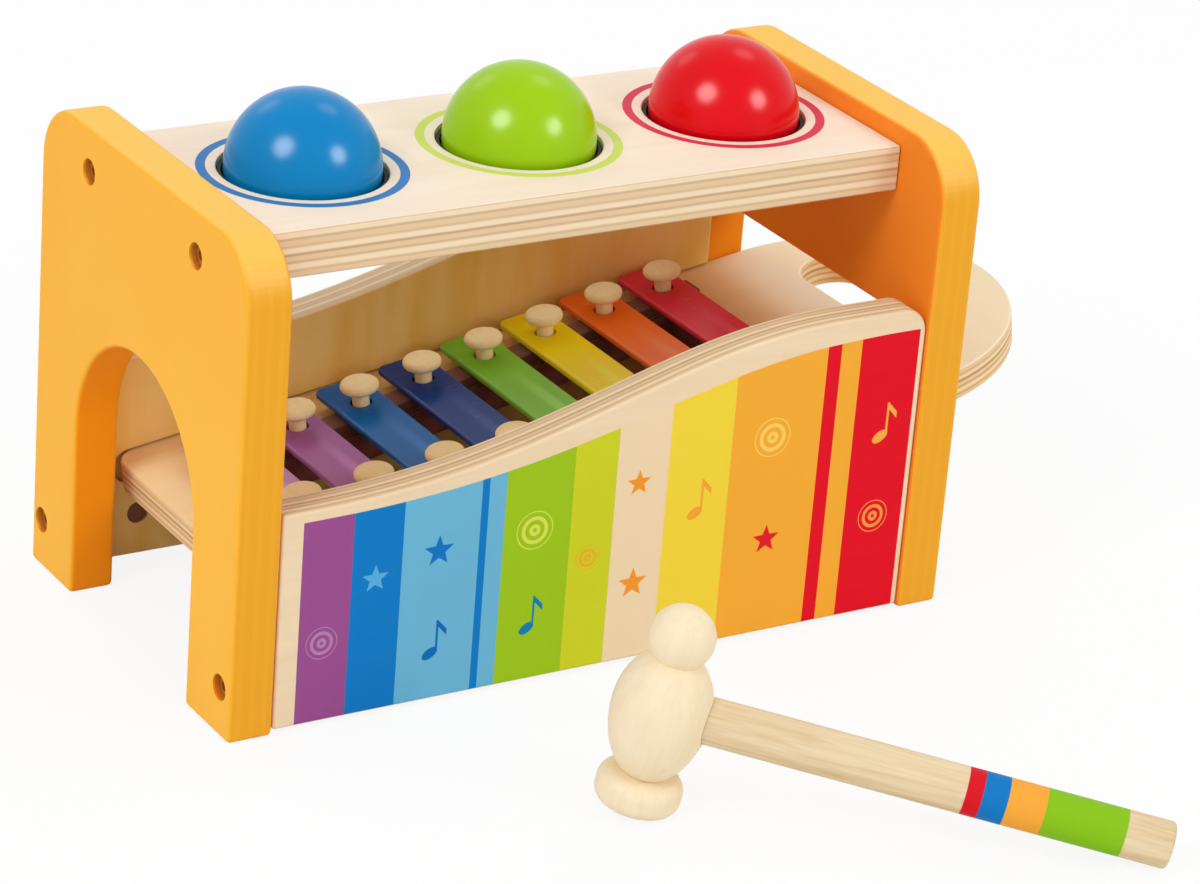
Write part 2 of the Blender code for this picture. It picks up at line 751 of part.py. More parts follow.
def key_places():
    """For each key, its place up the slope and half the spacing of its pegs."""
    return [
        (FIRST_KEY_U + i * KEY_PITCH, FIRST_PEG_HALF_SPACING + i * PEG_SPACING_STEP)
        for i in range(KEY_COUNT)
    ]


def rows_outline(inner_offset, outer_offset, before, after):
    """A four-sided band beside the peg rows, offset in y, past the first and the last key."""
    first, last = key_places()[0], key_places()[-1]
    slope = (last[1] - first[1]) / (last[0] - first[0])
    low_u, high_u = first[0] - before, last[0] + after
    low_y = first[1] - before * slope
    high_y = last[1] + after * slope
    return [
        (low_u, low_y + inner_offset),
        (high_u, high_y + inner_offset),
        (high_u, high_y + outer_offset),
        (low_u, low_y + outer_offset),
    ]


def make_tray():
    half = TRAY_WIDTH / 2
    radius = TRAY_CORNER_RADIUS
    outline = (
        arc(TRAY_LENGTH - half, 0, half, -pi / 2, pi / 2, TRAY_END_STEPS)
        + arc(radius, half - radius, radius, pi / 2, pi, CORNER_STEPS)
        + arc(radius, radius - half, radius, pi, 3 * pi / 2, CORNER_STEPS)
    )
    finger_slot = racetrack(
        TRAY_LENGTH - FINGER_SLOT_FROM_TIP,
        0,
        FINGER_SLOT_RADIUS,
        FINGER_SLOT_LENGTH,
        SLOT_END_STEPS,
    )
    beside = -STRIP_WIDTH / 2 - RESONATOR_BESIDE_STRIP
    upper = rows_outline(beside, 0, 0, 0)[:2]
    resonator = [upper[0], upper[1], (upper[1][0], -upper[1][1]), (upper[0][0], -upper[0][1])]
    mesh = plate_mesh("xylophone_tray", [outline, finger_slot, resonator], TRAY_THICKNESS)
    tray = add_piece(
        "xylophone_tray",
        mesh,
        material("tray_plywood", *TRAY_PLYWOOD),
        Matrix.Translation((0, 0, -TRAY_THICKNESS / 2)),
        tray_frame,
    )
    ease(tray, TRAY_EASED_EDGE)
    peg_hole = cylinder_mesh(
        "peg_hole",
        PEG_STEM_RADIUS + SEAT_GAP,
        PEG_DEPTH + SEAT_GAP + CUT_OVERRUN,
        SMALL_HOLE_STEPS,
    )
    holes = [
        (peg_hole, Matrix.Translation((u, sign * half_spacing, -PEG_DEPTH - SEAT_GAP)))
        for u, half_spacing in key_places()
        for sign in (-1, 1)
    ]
    cut(tray, joined_cutter("peg_holes", holes, tray_frame))


def make_strips():
    finish = material("strip_felt", *FELT)
    past = KEY_WIDTH / 2 + STRIP_BEYOND_KEYS
    for side, sign in (("front", -1), ("back", 1)):
        band = rows_outline(-STRIP_WIDTH / 2, STRIP_WIDTH / 2, past, past)
        outline = [(u, sign * y) for u, y in band]
        holes = [
            circle(u, sign * half_spacing, PEG_STEM_RADIUS + SEAT_GAP, SMALL_HOLE_STEPS)
            for u, half_spacing in key_places()
        ]
        mesh = plate_mesh(side + "_key_strip", [outline] + holes, STRIP_THICKNESS)
        place = Matrix.Translation((0, 0, SEAT_GAP + STRIP_THICKNESS / 2))
        add_piece(side + "_key_strip", mesh, finish, place, tray_frame)


def make_keys():
    middle_w = KEY_BOTTOM + KEY_THICKNESS / 2
    hole_radius = PEG_STEM_RADIUS + KEY_HOLE_CLEARANCE
    hole = cylinder_mesh("key_hole", hole_radius, KEY_TOP + CUT_OVERRUN, SMALL_HOLE_STEPS)
    for number, (u, half_spacing) in enumerate(key_places(), start=1):
        reach = half_spacing + KEY_BEYOND_PEG
        low = (-KEY_WIDTH / 2, -reach)
        high = (KEY_WIDTH / 2, reach)
        outline = rounded_rectangle(low, high, KEY_CORNER_RADIUS, KEY_CORNER_RADIUS, KEY_STEPS)
        name = f"key_{number}"
        finish = material(name, KEY_COLOURS[number - 1], KEY_ROUGHNESS)
        mesh = plate_mesh(name, [outline], KEY_THICKNESS)
        key = add_piece(name, mesh, finish, Matrix.Translation((u, 0, middle_w)), tray_frame)
        ease(key, KEY_EASED_EDGE)
        holes = [(hole, Matrix.Translation((u, s * half_spacing, 0))) for s in (-1, 1)]
        cut(key, joined_cutter(name + "_holes", holes, tray_frame))


def peg_profile():
    """A mushroom-headed peg about its axis, from the top of its head down to its foot."""
    half = (PEG_HEAD_THICKNESS - PEG_HEAD_DOME) / 2
    middle = PEG_HEAD_UNDERSIDE + half
    shoulder = PEG_HEAD_RADIUS - half
    dome = [(0, PEG_HEAD_UNDERSIDE + PEG_HEAD_THICKNESS)]
    rim = arc(shoulder, middle, half, pi / 2, -pi / 2, PEG_RIM_STEPS)
    stem = [(PEG_STEM_RADIUS, PEG_HEAD_UNDERSIDE), (PEG_STEM_RADIUS, -PEG_DEPTH)]
    return dome + rim + stem + [(0, -PEG_DEPTH)]


def make_pegs():
    finish = material("peg_wood", *PEG_WOOD)
    mesh = profile_mesh("peg", peg_profile())
    for number, (u, half_spacing) in enumerate(key_places(), start=1):
        for side, sign in (("front", -1), ("back", 1)):
            place = Matrix.Translation((u, sign * half_spacing, 0))
            peg = add_piece(f"{side}_peg_{number}", mesh, finish, place, tray_frame)
            turn(peg, PEG_SEGMENTS)


def screw_profile():
    """A socket-head screw about its axis, from its head's top down to its tip."""
    top = SEAT_GAP + SCREW_HEAD_HEIGHT
    return [
        (0, top),
        (SCREW_HEAD_RADIUS - SCREW_HEAD_ROUND, top),
        (SCREW_HEAD_RADIUS, top - SCREW_HEAD_ROUND),
        (SCREW_HEAD_RADIUS, SEAT_GAP),
        (SCREW_SHANK_RADIUS, SEAT_GAP),
        (SCREW_SHANK_RADIUS, -shank_length()),
        (0, -shank_length()),
    ]


def make_fasteners():
    steel = material("fastener_steel", STEEL[0], STEEL[1], METALLIC)
    screw_mesh = profile_mesh("screw", screw_profile())
    socket_depth = SCREW_SOCKET_DEPTH + CUT_OVERRUN
    socket = cylinder_mesh("socket", SCREW_SOCKET_RADIUS, socket_depth, SOCKET_SIDES)
    cross = cylinder_mesh(
        "thread", SCREW_SHANK_RADIUS + SEAT_GAP, 2 * (NUT_RADIUS + CUT_OVERRUN), SCREW_SEGMENTS
    )
    for end in ("left", "right"):
        for name, y, z in screw_places():
            frame = screw_frame(end, y, z)
            screw = add_piece(f"{end}_{name}_screw", screw_mesh, steel, frame, bench)
            turn(screw, SCREW_SEGMENTS)
            drop = SEAT_GAP + SCREW_HEAD_HEIGHT - SCREW_SOCKET_DEPTH
            place = frame @ Matrix.Translation((0, 0, drop))
            cut(screw, add_cutter(f"{end}_{name}_socket", socket, place, bench))
            if name.endswith("board"):
                length = BOARD_THICKNESS - NUT_SKIN - NUT_SETBACK - SEAT_GAP
                foot = Matrix.Translation((nut_x(end), y, BOARD_BOTTOM + NUT_SETBACK))
            else:
                length = SIDE_THICKNESS - NUT_SKIN - NUT_SETBACK - SEAT_GAP
                sign = 1 if y > MIDDLE_Y else -1
                inner_face = MIDDLE_Y + sign * (MIDDLE_Y - SIDE_INSET - SIDE_THICKNESS)
                foot = Matrix.Translation((nut_x(end), inner_face + sign * NUT_SETBACK, z))
                foot = foot @ Matrix.Rotation(-sign * pi / 2, 4, "X")
            barrel = cylinder_mesh(f"{end}_{name}_nut", NUT_RADIUS, length, NUT_SEGMENTS)
            nut = add_piece(f"{end}_{name}_nut", barrel, steel, foot, bench)
            start = Matrix.Translation((nut_x(end) - NUT_RADIUS - CUT_OVERRUN, y, z))
            across = start @ Matrix.Rotation(pi / 2, 4, "Y")
            cut(nut, add_cutter(f"{end}_{name}_thread", cross, across, bench))


def mallet_profile():
    """The turned head about its axis, from the top of its knob down to its striking face.

    The body is two half ellipses, which meet the knob and the face at their neck radii.
    """
    top_angle = acos(MALLET_TOP_NECK_RADIUS / MALLET_BODY_RADIUS)
    foot_angle = acos(MALLET_FOOT_NECK_RADIUS / MALLET_BODY_RADIUS)
    above = MALLET_BODY_ABOVE
    below = (MALLET_BODY_HEIGHT - MALLET_FACE_THICKNESS - SEAT_GAP) / sin(foot_angle)
    neck_z = MALLET_BODY_HEIGHT + above * sin(top_angle)
    knob_drop = sqrt(MALLET_KNOB_RADIUS ** 2 - MALLET_TOP_NECK_RADIUS ** 2)
    neck_angle = -asin(knob_drop / MALLET_KNOB_RADIUS)
    knob = arc(0, neck_z + knob_drop, MALLET_KNOB_RADIUS, pi / 2, neck_angle, KNOB_STEPS)
    upper = [
        (MALLET_BODY_RADIUS * cos(a), MALLET_BODY_HEIGHT + above * sin(a))
        for a in (top_angle * (1 - step / BODY_ABOVE_STEPS) for step in range(1, BODY_ABOVE_STEPS + 1))
    ]
    lower = [
        (MALLET_BODY_RADIUS * cos(a), MALLET_BODY_HEIGHT - below * sin(a))
        for a in (foot_angle * step / BODY_BELOW_STEPS for step in range(1, BODY_BELOW_STEPS + 1))
    ]
    rim = MALLET_FACE_RADIUS - MALLET_FACE_ROUND
    shoulder = MALLET_FACE_THICKNESS - MALLET_FACE_ROUND
    face = arc(rim, shoulder, MALLET_FACE_ROUND, pi / 2, 0, FACE_ROUND_STEPS)
    face += arc(rim, MALLET_FACE_ROUND, MALLET_FACE_ROUND, 0, -pi / 2, FACE_ROUND_STEPS)
    return knob[:-1] + [(MALLET_TOP_NECK_RADIUS, neck_z)] + upper + lower + face + [(0, 0)]


def handle_profile():
    """The handle about its axis, from its free end back to its hidden end in the head."""
    round_end = arc(
        HANDLE_RADIUS - HANDLE_END_ROUND,
        HANDLE_LENGTH - HANDLE_END_ROUND,
        HANDLE_END_ROUND,
        pi / 2,
        0,
        HANDLE_END_STEPS,
    )
    foot = -HANDLE_PAST_AXIS
    return [(0, HANDLE_LENGTH)] + round_end + [(HANDLE_RADIUS, foot), (0, foot)]


def make_mallet():
    finish = material("mallet_wood", *PALE_WOOD)
    head_mesh = profile_mesh("mallet_head", mallet_profile())
    head = add_piece("mallet_head", head_mesh, finish, Matrix.Identity(4), mallet)
    turn(head, MALLET_SEGMENTS)
    lie = Matrix.Translation((0, 0, HANDLE_HEIGHT)) @ Matrix.Rotation(pi / 2, 4, "Y")
    socket = cylinder_mesh(
        "handle_socket",
        HANDLE_RADIUS + SEAT_GAP,
        HANDLE_PAST_AXIS + SEAT_GAP + MALLET_BODY_RADIUS + CUT_OVERRUN,
        HANDLE_SEGMENTS,
    )
    start = lie @ Matrix.Translation((0, 0, -HANDLE_PAST_AXIS - SEAT_GAP))
    cut(head, add_cutter("handle_socket", socket, start, mallet))
    handle_mesh = profile_mesh("mallet_handle", handle_profile())
    handle = add_piece("mallet_handle", handle_mesh, finish, lie, mallet)
    turn(handle, HANDLE_SEGMENTS)


clear_scene()
pieces = collection("xylophone_pounding_bench")
cutters = collection("cutters")
cutters.hide_render = True
to_origin = Matrix.Translation(-origin_offset())
bench = frame_empty("bench_frame", to_origin)
tray_frame = frame_empty("tray_frame", TRAY_FRAME, bench)
mallet = frame_empty("mallet_frame", mallet_frame(), bench)
make_end_panels()
make_top_board()
make_balls_and_rings()
make_side_panels()
make_tray()
make_strips()
make_keys()
make_pegs()
make_fasteners()
make_mallet()
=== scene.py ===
import json
from math import acos, asin, atan2, cos, pi, radians, sin, sqrt

import bmesh
import bpy
from mathutils import Matrix, Vector
from mathutils.geometry import interpolate_bezier


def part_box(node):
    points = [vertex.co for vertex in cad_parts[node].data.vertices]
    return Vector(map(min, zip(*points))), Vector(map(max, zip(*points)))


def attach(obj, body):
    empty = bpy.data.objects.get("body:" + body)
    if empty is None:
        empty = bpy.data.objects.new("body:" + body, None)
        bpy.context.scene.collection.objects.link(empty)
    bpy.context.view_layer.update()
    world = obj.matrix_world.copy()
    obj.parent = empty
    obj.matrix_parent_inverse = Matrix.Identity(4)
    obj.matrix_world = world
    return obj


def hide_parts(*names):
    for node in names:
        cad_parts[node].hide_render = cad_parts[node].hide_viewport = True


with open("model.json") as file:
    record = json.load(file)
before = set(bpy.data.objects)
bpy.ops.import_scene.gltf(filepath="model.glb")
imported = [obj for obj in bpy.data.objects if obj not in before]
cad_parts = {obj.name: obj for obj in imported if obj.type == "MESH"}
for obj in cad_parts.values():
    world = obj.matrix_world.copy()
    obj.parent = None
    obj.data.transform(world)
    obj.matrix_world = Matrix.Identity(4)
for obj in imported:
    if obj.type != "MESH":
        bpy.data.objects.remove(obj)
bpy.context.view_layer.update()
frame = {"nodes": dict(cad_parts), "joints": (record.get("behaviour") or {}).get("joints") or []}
print("frame loaded:", len(frame["nodes"]), "nodes")

# Places that every piece shares: the bench's corner on the floor and the slope of the tray
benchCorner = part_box("left_end_panel")[0]
benchFrame = Matrix.Translation((benchCorner.x, benchCorner.y, 0))
slideJoint = next(joint for joint in frame["joints"] if joint["name"] == "xylophone_slide")
slideAxis = Vector(slideJoint["axis"])
slope = atan2(slideAxis.z, slideAxis.x)

bench = {
    "length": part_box("right_end_panel")[1].x - benchCorner.x,
    "depth": 0.130,
    "gap": 0.0003,           # what touching wood keeps between its faces
    "overrun": 0.003,        # how far a cutter passes the face that it cuts
    "eased": 0.0011, "easedSteps": 3,
    "sharp": radians(35),    # edges that turn more than this are rounded
    "smooth": radians(38),   # edges that turn less than this are shaded smooth
    "straight": 0.999,       # how much of an edge's direction lies along an axis, for an edge along it
    "weld": 1e-6,            # points closer than this are one
    "roundShare": 0.9999,    # how much of half a width a fully round end takes
    "soft": 0.00008,         # half the width over which a drawn edge fades
    "sawn": (0.35, 0.75),    # how far a sawn edge, and then a face, looks along the axis of its plies
}
middleY = bench["depth"] / 2


# Materials as expressions

def linear(red, green, blue):
    # a colour as a colour picker shows it, 0 to 255, in the units that the nodes use
    shares = [value / 255 for value in (red, green, blue)]
    return tuple(s / 12.92 if s <= 0.04045 else ((s + 0.055) / 1.055) ** 2.4 for s in shares) + (1.0,)


def shaded(colour, factor, lift=0.0):
    # a darker or a lighter version of a colour
    return tuple(min(1, value * factor + lift) for value in colour[:3]) + (1,)


def operator(operation, reflected=False):
    # a method that adds one Math node
    def method(self, *others):
        values = (self, *others)
        return self.math(operation, *(values[::-1] if reflected else values))
    return method


class Field:
    # a socket's output, used in sums as a number is
    def __init__(self, finish, socket):
        self.finish = finish
        self.socket = socket

    def math(self, operation, *values):
        return self.finish.node("ShaderNodeMath", {"operation": operation}, dict(enumerate(values)))

    __add__ = operator("ADD")
    __radd__ = operator("ADD", True)
    __sub__ = operator("SUBTRACT")
    __rsub__ = operator("SUBTRACT", True)
    __mul__ = operator("MULTIPLY")
    __rmul__ = operator("MULTIPLY", True)
    __truediv__ = operator("DIVIDE")
    __pow__ = operator("POWER")
    __mod__ = operator("FLOORED_MODULO")
    __lt__ = operator("LESS_THAN")
    __gt__ = operator("GREATER_THAN")
    __abs__ = operator("ABSOLUTE")
    root = operator("SQRT")
    cosine = operator("COSINE")
    pingpong = operator("PINGPONG")
    larger = operator("MAXIMUM")
    smaller = operator("MINIMUM")
    angle = operator("ARCTAN2")


class Nodes:
    # a node tree, with the one method that makes its nodes
    def __init__(self, tree):
        self.tree = tree

    def node(self, kind, settings, values, output=0):
        made = self.tree.nodes.new(kind)
        for key, value in settings.items():
            if key == "stops":
                self.setStops(made.color_ramp, value)
            elif key == "points":
                self.setPoints(made.mapping, value)
            else:
                setattr(made, key, value)
        for key, value in values.items():
            if isinstance(value, Field):
                self.tree.links.new(value.socket, made.inputs[key])
            else:
                made.inputs[key].default_value = value
        return Field(self, made.outputs[output])

    def setStops(self, ramp, stops):
        ramp.interpolation = "CONSTANT"
        while len(ramp.elements) > 1:
            ramp.elements.remove(ramp.elements[-1])
        ramp.elements[0].position = stops[0][0]
        ramp.elements[0].color = stops[0][1]
        for position, colour in stops[1:]:
            ramp.elements.new(position).color = colour

    def setPoints(self, mapping, points):
        curve = mapping.curves[0]
        curve.points[0].location = points[0]
        curve.points[1].location = points[-1]
        for point in points[1:-1]:
            curve.points.new(*point)
        mapping.update()


class Finish(Nodes):
    # one material: its Principled shader and the nodes that feed it
    def __init__(self, name, place):
        self.material = bpy.data.materials.new(name)
        self.material.use_nodes = True
        super().__init__(self.material.node_tree)
        self.shader = self.tree.nodes["Principled BSDF"]
        # coordinates in the piece's own frame instead of the room's
        back = place.inverted()
        values = {"Location": back.to_translation(), "Rotation": back.to_euler()}
        room = self.node("ShaderNodeTexCoord", {}, {}, "Object")
        self.place = self.node("ShaderNodeMapping", {"vector_type": "POINT"}, {"Vector": room, **values})
        self.x = self.node("ShaderNodeSeparateXYZ", {}, {"Vector": self.place}, "X")
        self.y = Field(self, self.x.socket.node.outputs["Y"])
        self.z = Field(self, self.x.socket.node.outputs["Z"])

    def rise(self, value, low, high):
        # 0 below low, 1 above high, and smooth between them
        values = {"Value": value, "From Min": low, "From Max": high}
        return self.node("ShaderNodeMapRange", {"interpolation_type": "SMOOTHSTEP"}, values)

    def within(self, value, low, high, soft=bench["soft"]):
        return self.rise(value, low - soft, low + soft) * (1 - self.rise(value, high - soft, high + soft))

    def noise(self, scale, detail, roughness=0.5, distortion=0.0, place=None):
        values = {"Scale": scale, "Detail": detail, "Roughness": roughness, "Distortion": distortion}
        return self.node("ShaderNodeTexNoise", {}, {"Vector": place or self.place, **values})

    def grain(self, axis, fineness, detail, roughness=0.5, distortion=0.0):
        # noise that is drawn out along one axis: fineness is its scale across that axis and along it
        across, along = fineness
        factors = [across, across, across]
        factors["xyz".index(axis)] = along
        place = self.node("ShaderNodeVectorMath", {"operation": "MULTIPLY"}, {0: self.place, 1: factors})
        return self.noise(1.0, detail, roughness, distortion, place)

    def mix(self, share, first, second):
        # sockets 0, 6 and 7 are a Mix node's factor and its two colours
        return self.node("ShaderNodeMix", {"data_type": "RGBA"}, {0: share, 6: first, 7: second}, 2)

    def bump(self, height, strength, distance):
        values = {"Height": height, "Strength": strength, "Distance": distance}
        return self.node("ShaderNodeBump", {}, values)

    def facing(self, axis):
        # how far the surface faces along an axis of the room, by its own true normal, -1 to 1
        normal = self.node("ShaderNodeNewGeometry", {}, {}, "True Normal")
        return self.node("ShaderNodeSeparateXYZ", {}, {"Vector": normal}, axis.upper())

    def sawn(self, axis):
        # 1 where the surface turns away from the axis that its plies are stacked along
        return 1 - self.rise(abs(self.facing(axis)), *bench["sawn"])

    def banded(self, bands, end):
        # bands of colour along x, each from its own start, and a mask of where they lie
        start = bands[0][0]
        stops = [((at - start) / (end - start), colour) for at, colour in bands]
        values = {"Fac": (self.x - start) / (end - start)}
        colour = self.node("ShaderNodeValToRGB", {"stops": stops}, values, "Color")
        return colour, self.within(self.x, start, end)

    def feed(self, **values):
        names = {
            "colour": "Base Color", "roughness": "Roughness", "metallic": "Metallic", "normal": "Normal",
            "specular": "Specular IOR Level", "sheen": "Sheen Weight",
        }
        for key, value in values.items():
            socket = self.shader.inputs[names[key]]
            if isinstance(value, Field):
                self.tree.links.new(value.socket, socket)
            else:
                socket.default_value = value
        return self.material

    def coat(self, look, colour, pattern, height):
        # a look holds the values that are the same all over, what the pattern adds to the roughness,
        # and how strong and how deep the bump is
        even = {key: look[key] for key in ("roughness", "specular", "metallic", "sheen") if key in look}
        if "uneven" in look:
            even["roughness"] = look["roughness"] + look["uneven"] * pattern
        normal = self.bump(height, look["bump"], look["bumpDepth"])
        return self.feed(colour=colour, normal=normal, **even)


# Mesh helpers

def meshOf(bm, name):
    mesh = bpy.data.meshes.new(name)
    bm.to_mesh(mesh)
    bm.free()
    return mesh


def linked(name, data):
    made = bpy.data.objects.new(name, data)
    bpy.context.scene.collection.objects.link(made)
    return made


def weld(bm, distance=bench["weld"]):
    bmesh.ops.remove_doubles(bm, verts=bm.verts, dist=distance)


def boxMesh(low, high):
    low, high = Vector(low), Vector(high)
    bm = bmesh.new()
    place = Matrix.Translation((low + high) / 2) @ Matrix.Diagonal((*(high - low), 1))
    bmesh.ops.create_cube(bm, size=1, matrix=place)
    return bm


def rods(places, radius, length, sides):
    # closed cylinders, each from its own origin up its own z, to be cut out together
    bm = bmesh.new()
    for place in places:
        centred = place @ Matrix.Translation((0, 0, length / 2))
        bmesh.ops.create_cone(
            bm, cap_ends=True, segments=sides, radius1=radius, radius2=radius, depth=length, matrix=centred
        )
    return bm


def turnedMesh(profile, steps, closed=False):
    # a profile of (radius, height) points, spun about z
    bm = bmesh.new()
    verts = [bm.verts.new((radius, 0, height)) for radius, height in profile]
    pairs = list(zip(verts, verts[1:]))
    if closed:
        pairs.append((verts[-1], verts[0]))
    edges = [bm.edges.new(pair) for pair in pairs]
    bmesh.ops.spin(
        bm, geom=verts + edges, cent=(0, 0, 0), axis=(0, 0, 1), angle=2 * pi, steps=steps, use_merge=True
    )
    weld(bm)
    bmesh.ops.recalc_face_normals(bm, faces=bm.faces)
    return bm


def arcPoints(x, z, radius, start, end, steps, tall=None):
    # points along an arc, or along an ellipse where its height differs from its radius
    angles = [start + (end - start) * step / steps for step in range(steps + 1)]
    return [(x + radius * cos(a), z + (tall or radius) * sin(a)) for a in angles]


def thicken(bm, along):
    # a flat sheet of faces becomes a closed slab
    made = bmesh.ops.extrude_face_region(bm, geom=bm.faces[:])
    moved = [item for item in made["geom"] if isinstance(item, bmesh.types.BMVert)]
    bmesh.ops.translate(bm, vec=along, verts=moved)
    bmesh.ops.recalc_face_normals(bm, faces=bm.faces)


def slabMesh(corners, low, high):
    bm = bmesh.new()
    bm.faces.new([bm.verts.new((*corner, low)) for corner in corners])
    thicken(bm, (0, 0, high - low))
    return bm


def edgesAlong(bm, axis, keep=lambda middle: True):
    found = []
    for edge in bm.edges:
        across = edge.verts[1].co - edge.verts[0].co
        middle = (edge.verts[1].co + edge.verts[0].co) / 2
        if abs(across.normalized()[axis]) > bench["straight"] and keep(middle):
            found.append(edge)
    return found


def turnAt(edge):
    return edge.calc_face_angle() if len(edge.link_faces) == 2 else 0


def sharpEdges(bm):
    return [edge for edge in bm.edges if turnAt(edge) > bench["sharp"]]


def roundEdges(bm, edges, radius, steps):
    bmesh.ops.bevel(bm, geom=edges, offset=radius, segments=steps, profile=0.5, affect="EDGES", material=-1)


def cutAway(bm, *cutters):
    work = linked("work", meshOf(bm, "work"))
    tools = [linked("tool", meshOf(cutter, "tool")) for cutter in cutters]
    for tool in tools:
        modifier = work.modifiers.new("cut", "BOOLEAN")
        modifier.operation = "DIFFERENCE"
        modifier.solver = "EXACT"
        modifier.object = tool
    graph = bpy.context.evaluated_depsgraph_get()
    mesh = bpy.data.meshes.new_from_object(work.evaluated_get(graph))
    result = bmesh.new()
    result.from_mesh(mesh)
    bpy.data.meshes.remove(mesh)
    for used in [work] + tools:
        usedMesh = used.data
        bpy.data.objects.remove(used)
        bpy.data.meshes.remove(usedMesh)
    return result


def addPiece(name, bm, place, material, body, nodes):
    bmesh.ops.transform(bm, matrix=place, verts=bm.verts)
    mesh = meshOf(bm, name)
    mesh.shade_smooth()
    mesh.set_sharp_from_angle(angle=bench["smooth"])
    mesh.materials.append(material)
    piece = linked(name, mesh)
    even = piece.modifiers.new("evenNormals", "WEIGHTED_NORMAL")
    even.keep_sharp = True
    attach(piece, body)
    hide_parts(*nodes)


# Camera, lamps and floor

camera = {
    # its place in the bench's frame, in metres
    "at": (-0.524325, -0.991226, 0.594792),
    "yaw": 0.602, "pitch": -0.421, "roll": 0.094,
    "lens": 136.25, "sensor": 36, "shiftX": -0.1004, "shiftY": 0.0272,
    "nearest": 0.05, "farthest": 30,
}


def makeCamera():
    data = bpy.data.cameras.new("camera")
    data.sensor_width = camera["sensor"]
    data.lens = camera["lens"]
    data.shift_x = camera["shiftX"]
    data.shift_y = camera["shiftY"]
    data.clip_start = camera["nearest"]
    data.clip_end = camera["farthest"]
    made = linked("camera", data)
    yaw, pitch = camera["yaw"], camera["pitch"]
    forward = Vector((sin(yaw) * cos(pitch), cos(yaw) * cos(pitch), sin(pitch)))
    level = forward.cross(Vector((0, 0, 1))).normalized()
    right = Matrix.Rotation(-camera["roll"], 3, forward) @ level
    axes = Matrix((right, right.cross(forward), -forward)).transposed()
    made.matrix_world = benchFrame @ Matrix.Translation(camera["at"]) @ axes.to_4x4()
    bpy.context.scene.camera = made


lamps = {
    # name: place, size across, power in watts, and whether it lights matt surfaces or only shows in gloss
    "keyLeft": ((-1.52, -0.50, 1.51), 0.80, 12.5, True),
    "keyRight": ((0.93, -1.60, 1.19), 0.66, 8.5, True),
    "top": ((1.05, 0.66, 1.82), 0.70, 3.6, True),
    "behind": ((-0.32, 1.77, 1.27), 0.70, 2.2, True),
    "glossLeft": ((-1.51, -0.49, 1.50), 1.08, 50.0, False),
    "glossRight": ((0.92, -1.59, 1.18), 0.92, 35.0, False),
}
room = {
    "worldStrength": 0.70,
    "aim": 0.07,             # the lamps point this far above the middle of the floor
    "floorLift": 0.88, "floorSize": 6.0, "floorGrey": 0.90, "floorRoughness": 0.9, "floorBelow": 0.0002,
    # no lift where the floor lies in the dark under the tray's slot: from and to, along the bench
    "darkFrom": 0.055, "darkTo": 0.226, "darkSoft": 0.006,
}


def makeLamps():
    for name, (at, size, power, lightsMatt) in lamps.items():
        data = bpy.data.lights.new(name, "AREA")
        data.shape = "DISK"
        data.size = size
        data.energy = power
        lamp = linked(name, data)
        lamp.visible_diffuse = lightsMatt
        aim = Vector((0, 0, room["aim"])) - Vector(at)
        lamp.matrix_world = Matrix.Translation(at) @ aim.to_track_quat("-Z", "Y").to_matrix().to_4x4()


def seenRays(nodes):
    # 1 for the rays that show the background itself: camera, gloss and glass
    kinds = ("Is Camera Ray", "Is Glossy Ray", "Is Transmission Ray")
    first, second, third = [nodes.node("ShaderNodeLightPath", {}, {}, kind) for kind in kinds]
    return first.larger(second).larger(third)


def makeWorld():
    world = bpy.data.worlds.new("room")
    world.use_nodes = True
    bpy.context.scene.world = world
    low = room["worldStrength"]
    strength = low + (1 - low) * seenRays(Nodes(world.node_tree))
    background = world.node_tree.nodes["Background"]
    background.inputs["Color"].default_value = (1, 1, 1, 1)
    world.node_tree.links.new(strength.socket, background.inputs["Strength"])


def makeFloor():
    bm = bmesh.new()
    place = Matrix.Translation((0, 0, -room["floorBelow"]))
    bmesh.ops.create_grid(bm, x_segments=2, y_segments=2, size=room["floorSize"] / 2, matrix=place)
    floor = linked("floor", meshOf(bm, "floor"))
    finish = Finish("paleFloor", benchFrame)
    grey = room["floorGrey"]
    finish.feed(colour=(grey, grey, grey, 1), roughness=room["floorRoughness"], specular=0.0)
    dark = finish.within(finish.x, room["darkFrom"], room["darkTo"], room["darkSoft"])
    inner = sidePanel["inset"] + sidePanel["thickness"]
    dark = dark * finish.within(finish.y, inner, bench["depth"] - inner, room["darkSoft"])
    share = seenRays(finish) * (room["floorLift"] * (1 - dark))
    white = finish.node("ShaderNodeEmission", {}, {"Color": (1, 1, 1, 1)})
    plain = Field(finish, finish.shader.outputs[0])
    lift = finish.node("ShaderNodeMixShader", {}, {0: share, 1: plain, 2: white})
    finish.tree.links.new(lift.socket, finish.tree.nodes["Material Output"].inputs["Surface"])
    floor.data.materials.append(finish.material)


makeCamera()
makeLamps()
makeWorld()
bpy.context.scene.view_settings.view_transform = "Standard"
print("camera and lamps made")


# Wood

